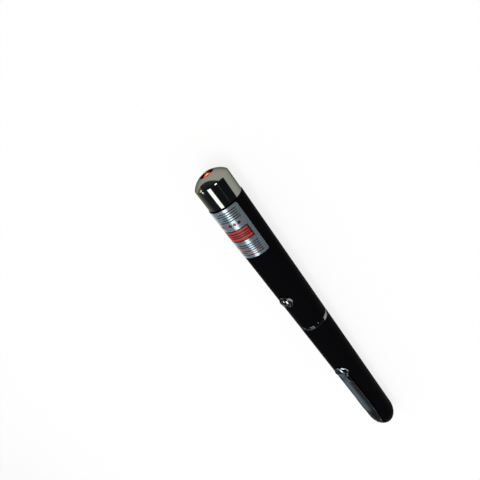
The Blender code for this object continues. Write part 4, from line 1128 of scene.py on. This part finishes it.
# Painted reflections: sheets that glow and that only the gloss sees, so they put dark surroundings, dim
# patches, streaks and glints into the metal and nowhere else: angles round the pen in degrees from straight
# up, then in metres the ends along X, the widths of the soft edges (first and last side, first and last end)
# and the distance from the pen, then colour and radiance.
paintedReflectionCards = {
    "darkRight": ((-95, -12), (-5, 3.2), (0.02, 0.02, 0.02, 0.5), 1.2, "#A9B4D2", 0.045),
    "darkFront": ((9, 50), (-5, 3.6), (0.02, 0.02, 0.02, 1.3), 1.2, "#A9B4D2", 0.075),
    "darkLeft": ((46, 147.5), (-5, 2.2), (0.02, 2.15, 0.4, 1.6), 1.21, "#A9B4D2", 0.07),
    "darkAbove": ((-15, 12), (0.2, 3.6), (0.02, 0.02, 0.02, 1.3), 1.21, "#A9B4D2", 0.045),
    "faintStreak": ((-57.5, -55), (-0.6, 0.6), (0.02, 0.02, 0.1, 0.1), 1.18, "#C4CCDC", 0.45),
    "rimGlint": ((-58, -44), (0.2, 1.5), (0.03, 0.03, 0.1, 0.1), 1.15, "#FFFFFF", 9.0),
    "warmGlint": ((60, 72), (0.5, 1.05), (0.04, 0.04, 0.1, 0.1), 1.15, "#FFD078", 5.0),
    "whiteGlint": ((39, 49), (-0.225, 0.16), (0.03, 0.03, 0.02, 0.05), 1.15, "#E6EEFF", 8.0),
    "dimTop": ((-9, 18), (-5, -0.7), (0.02, 0.02, 0.1, 0.02), 1.19, "#C8D2DC", 0.42),
    "clipPatch": ((-12, 84), (-2.1, -1.05), (1.48, 0.2, 0.65, 0.26), 1.15, "#C6D4D8", 0.95),
    "clipShade": ((-95, 56), (-5, -1.28), (0.1, 0.1, 0.3, 0.05), 1.16, "#CFC8C2", 0.09),
    "bulbPatch": ((-88, -21), (-2.4, -1.6), (0.1, 0.1, 0.3, 0.12), 1.14, "#D8D2C6", 0.8),
}
# painted reflections, in metres, that only the gloss sees: a dim sheet over the floor on the right that
# darkens the floor's reflection, and a dim wall in front of the nose that shades the reflection in the nose's
# face
paintedFloorShade = {
    "nearEdge": 0.03, "soft": 0.006, "far": 4.0, "front": (0.3, 1.8), "height": 0.0004,
    "rows": 23, "columns": 12, "colour": "#A9B4D2", "radiance": 0.045,
}
paintedFrontShade = {
    "place": 5.0, "half": 6.0, "heights": (-1.6, 0.6, 5.0), "rows": 12, "colour": "#B9BFC6", "radiance": 0.12,
}


def seenDirectly(tree):
    # 1 for rays from the camera and for those that metal and glass send on
    rays = addNode(tree, "ShaderNodeLightPath").outputs
    return combined(tree, "MAXIMUM", [
        rays[name] for name in ("Is Camera Ray", "Is Glossy Ray", "Is Transmission Ray")
    ])


def makeStudio(sizes):
    half = sizes["floorHalf"]
    mesh = bpy.data.meshes.new("floor")
    mesh.from_pydata([(-half, -half, 0), (half, -half, 0), (half, half, 0), (-half, half, 0)], [], [range(4)])
    material, tree, shader = newMaterial("paleFloor", {
        "Base Color": linear(sizes["floorColour"]), "Roughness": 0.9, "Specular IOR Level": 0.0,
    })
    lit = addNode(tree, "ShaderNodeEmission", {"Color": (1, 1, 1, 1), "Strength": sizes["floorGlow"]})
    share = addNode(tree, "ShaderNodeMath", {
        "operation": "MULTIPLY", 0: seenDirectly(tree), 1: sizes["floorWhiteShare"],
    })
    mixed = addNode(tree, "ShaderNodeMixShader", {0: share, 1: shader, 2: lit})
    fill(tree.nodes["Material Output"], {"Surface": mixed})
    mesh.materials.append(material)
    newObject("floor", mesh)

    world = bpy.data.worlds.new("studioWorld")
    world.use_nodes = True
    bpy.context.scene.world = world
    tree = world.node_tree
    tree.nodes.clear()
    ambient = addNode(tree, "ShaderNodeBackground", {"Color": (1, 1, 1, 1), "Strength": sizes["ambient"]})
    white = addNode(tree, "ShaderNodeBackground", {"Color": (1, 1, 1, 1), "Strength": 1.0})
    mixed = addNode(tree, "ShaderNodeMixShader", {0: seenDirectly(tree), 1: ambient, 2: white})
    addNode(tree, "ShaderNodeOutputWorld", {0: mixed})

    light = bpy.data.lights.new("stripLamp", "AREA")
    light.shape = "RECTANGLE"
    light.size, light.size_y = sizes["stripSize"]
    light.energy = sizes["stripRadiance"] * math.pi * light.size * light.size_y  # watts for the radiance
    newObject("stripLamp", light).location = sizes["stripPlace"]


def makeCamera(sizes):
    lens = bpy.data.cameras.new("photoCamera")
    lens.angle = math.radians(sizes["cameraAngle"])
    lens.clip_start = 0.01
    camera = newObject("photoCamera", lens)
    camera.location = sizes["cameraPlace"]
    camera.rotation_euler = [math.radians(turn) for turn in sizes["cameraTurn"]]
    bpy.context.scene.camera = camera


def paintedReflectionSheet(name, rows, colour, radiance):
    # a sheet that only the gloss sees, painting a reflection, from rows of places and how much each covers, 0
    # to 1
    count = len(rows[0])
    corners = [k * count + m for k in range(len(rows) - 1) for m in range(count - 1)]
    mesh = bpy.data.meshes.new(name)
    mesh.from_pydata(
        [point for row in rows for point, cover in row], [],
        [(k, k + 1, k + count + 1, k + count) for k in corners])
    covers = [cover for row in rows for point, cover in row]
    mesh.attributes.new("cover", "FLOAT", "POINT").data.foreach_set("value", covers)
    material = bpy.data.materials.new(name)
    material.use_nodes = True
    tree = material.node_tree
    tree.nodes.clear()
    glow = addNode(tree, "ShaderNodeEmission", {"Color": linear(colour), "Strength": radiance})
    clear = addNode(tree, "ShaderNodeBsdfTransparent")
    share = addNode(tree, "ShaderNodeAttribute", {"attribute_name": "cover"}).outputs["Fac"]
    mixed = addNode(tree, "ShaderNodeMixShader", {0: share, 1: clear, 2: glow})
    addNode(tree, "ShaderNodeOutputMaterial", {0: mixed})
    mesh.materials.append(material)
    sheet = newObject(name, mesh)
    sheet.visible_camera = sheet.visible_diffuse = sheet.visible_shadow = sheet.visible_transmission = False


def makePaintedReflectionCard(name, turns, ends, soft, reach, colour, radiance):
    # part of a cylinder round the pen that glows evenly and fades out at its edges: a painted reflection that
    # only the gloss sees
    first, last = (math.radians(angle) for angle in turns)
    near, far = ends
    softFirst, softLast, softNear, softFar = soft
    shares = [k / studio["cardSteps"] for k in range(studio["cardSteps"] + 1)]
    rows = []
    for angle in [between(first, last, share) for share in shares]:
        side = ease((angle - first) * reach / softFirst) * ease((last - angle) * reach / softLast)
        y, z = reach * math.sin(angle), screwJoint["pos_m"][2] + reach * math.cos(angle)
        rows.append([
            ((x, y, z), side * ease((x - near) / softNear) * ease((far - x) / softFar))
            for x in [between(near, far, share) for share in shares]
        ])
    paintedReflectionSheet(name, rows, colour, radiance)


def makePaintedFloorShade(sizes):
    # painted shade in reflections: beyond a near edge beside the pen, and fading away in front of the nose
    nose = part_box("chrome_head")[1].x
    near, far, height, count = sizes["nearEdge"], sizes["far"], sizes["height"], sizes["columns"]
    aways = [near, near + sizes["soft"]]
    aways += [near * (far / near) ** ((k + 1) / sizes["rows"]) for k in range(sizes["rows"])]
    rows = []
    for away in aways:
        cover = 0 if away == near else 1
        rows.append([((-far, -away, height), cover)] + [
            ((nose + between(*sizes["front"], k / count) * away, -away, height), cover * ease(1 - k / count))
            for k in range(count + 1)
        ])
    paintedReflectionSheet("paintedFloorShade", rows, sizes["colour"], sizes["radiance"])


def makePaintedFrontShade(sizes):
    # painted shade in the nose's reflection: rises from nothing at its foot to its full glow
    low, full, top = sizes["heights"]
    rows = []
    for height in [between(low, full, k / sizes["rows"]) for k in range(sizes["rows"] + 1)] + [top]:
        cover = ease((height - low) / (full - low))
        rows.append([((sizes["place"], y, height), cover) for y in (-sizes["half"], sizes["half"])])
    paintedReflectionSheet("paintedFrontShade", rows, sizes["colour"], sizes["radiance"])


makeStudio(studio)
makeCamera(studio)
# each card is a painted reflection that only the gloss sees
for name, card in paintedReflectionCards.items():
    makePaintedReflectionCard(name, *card)
makePaintedFloorShade(paintedFloorShade)
makePaintedFrontShade(paintedFrontShade)
bpy.context.scene.view_settings.view_transform = "Standard"
print("studio and camera made")
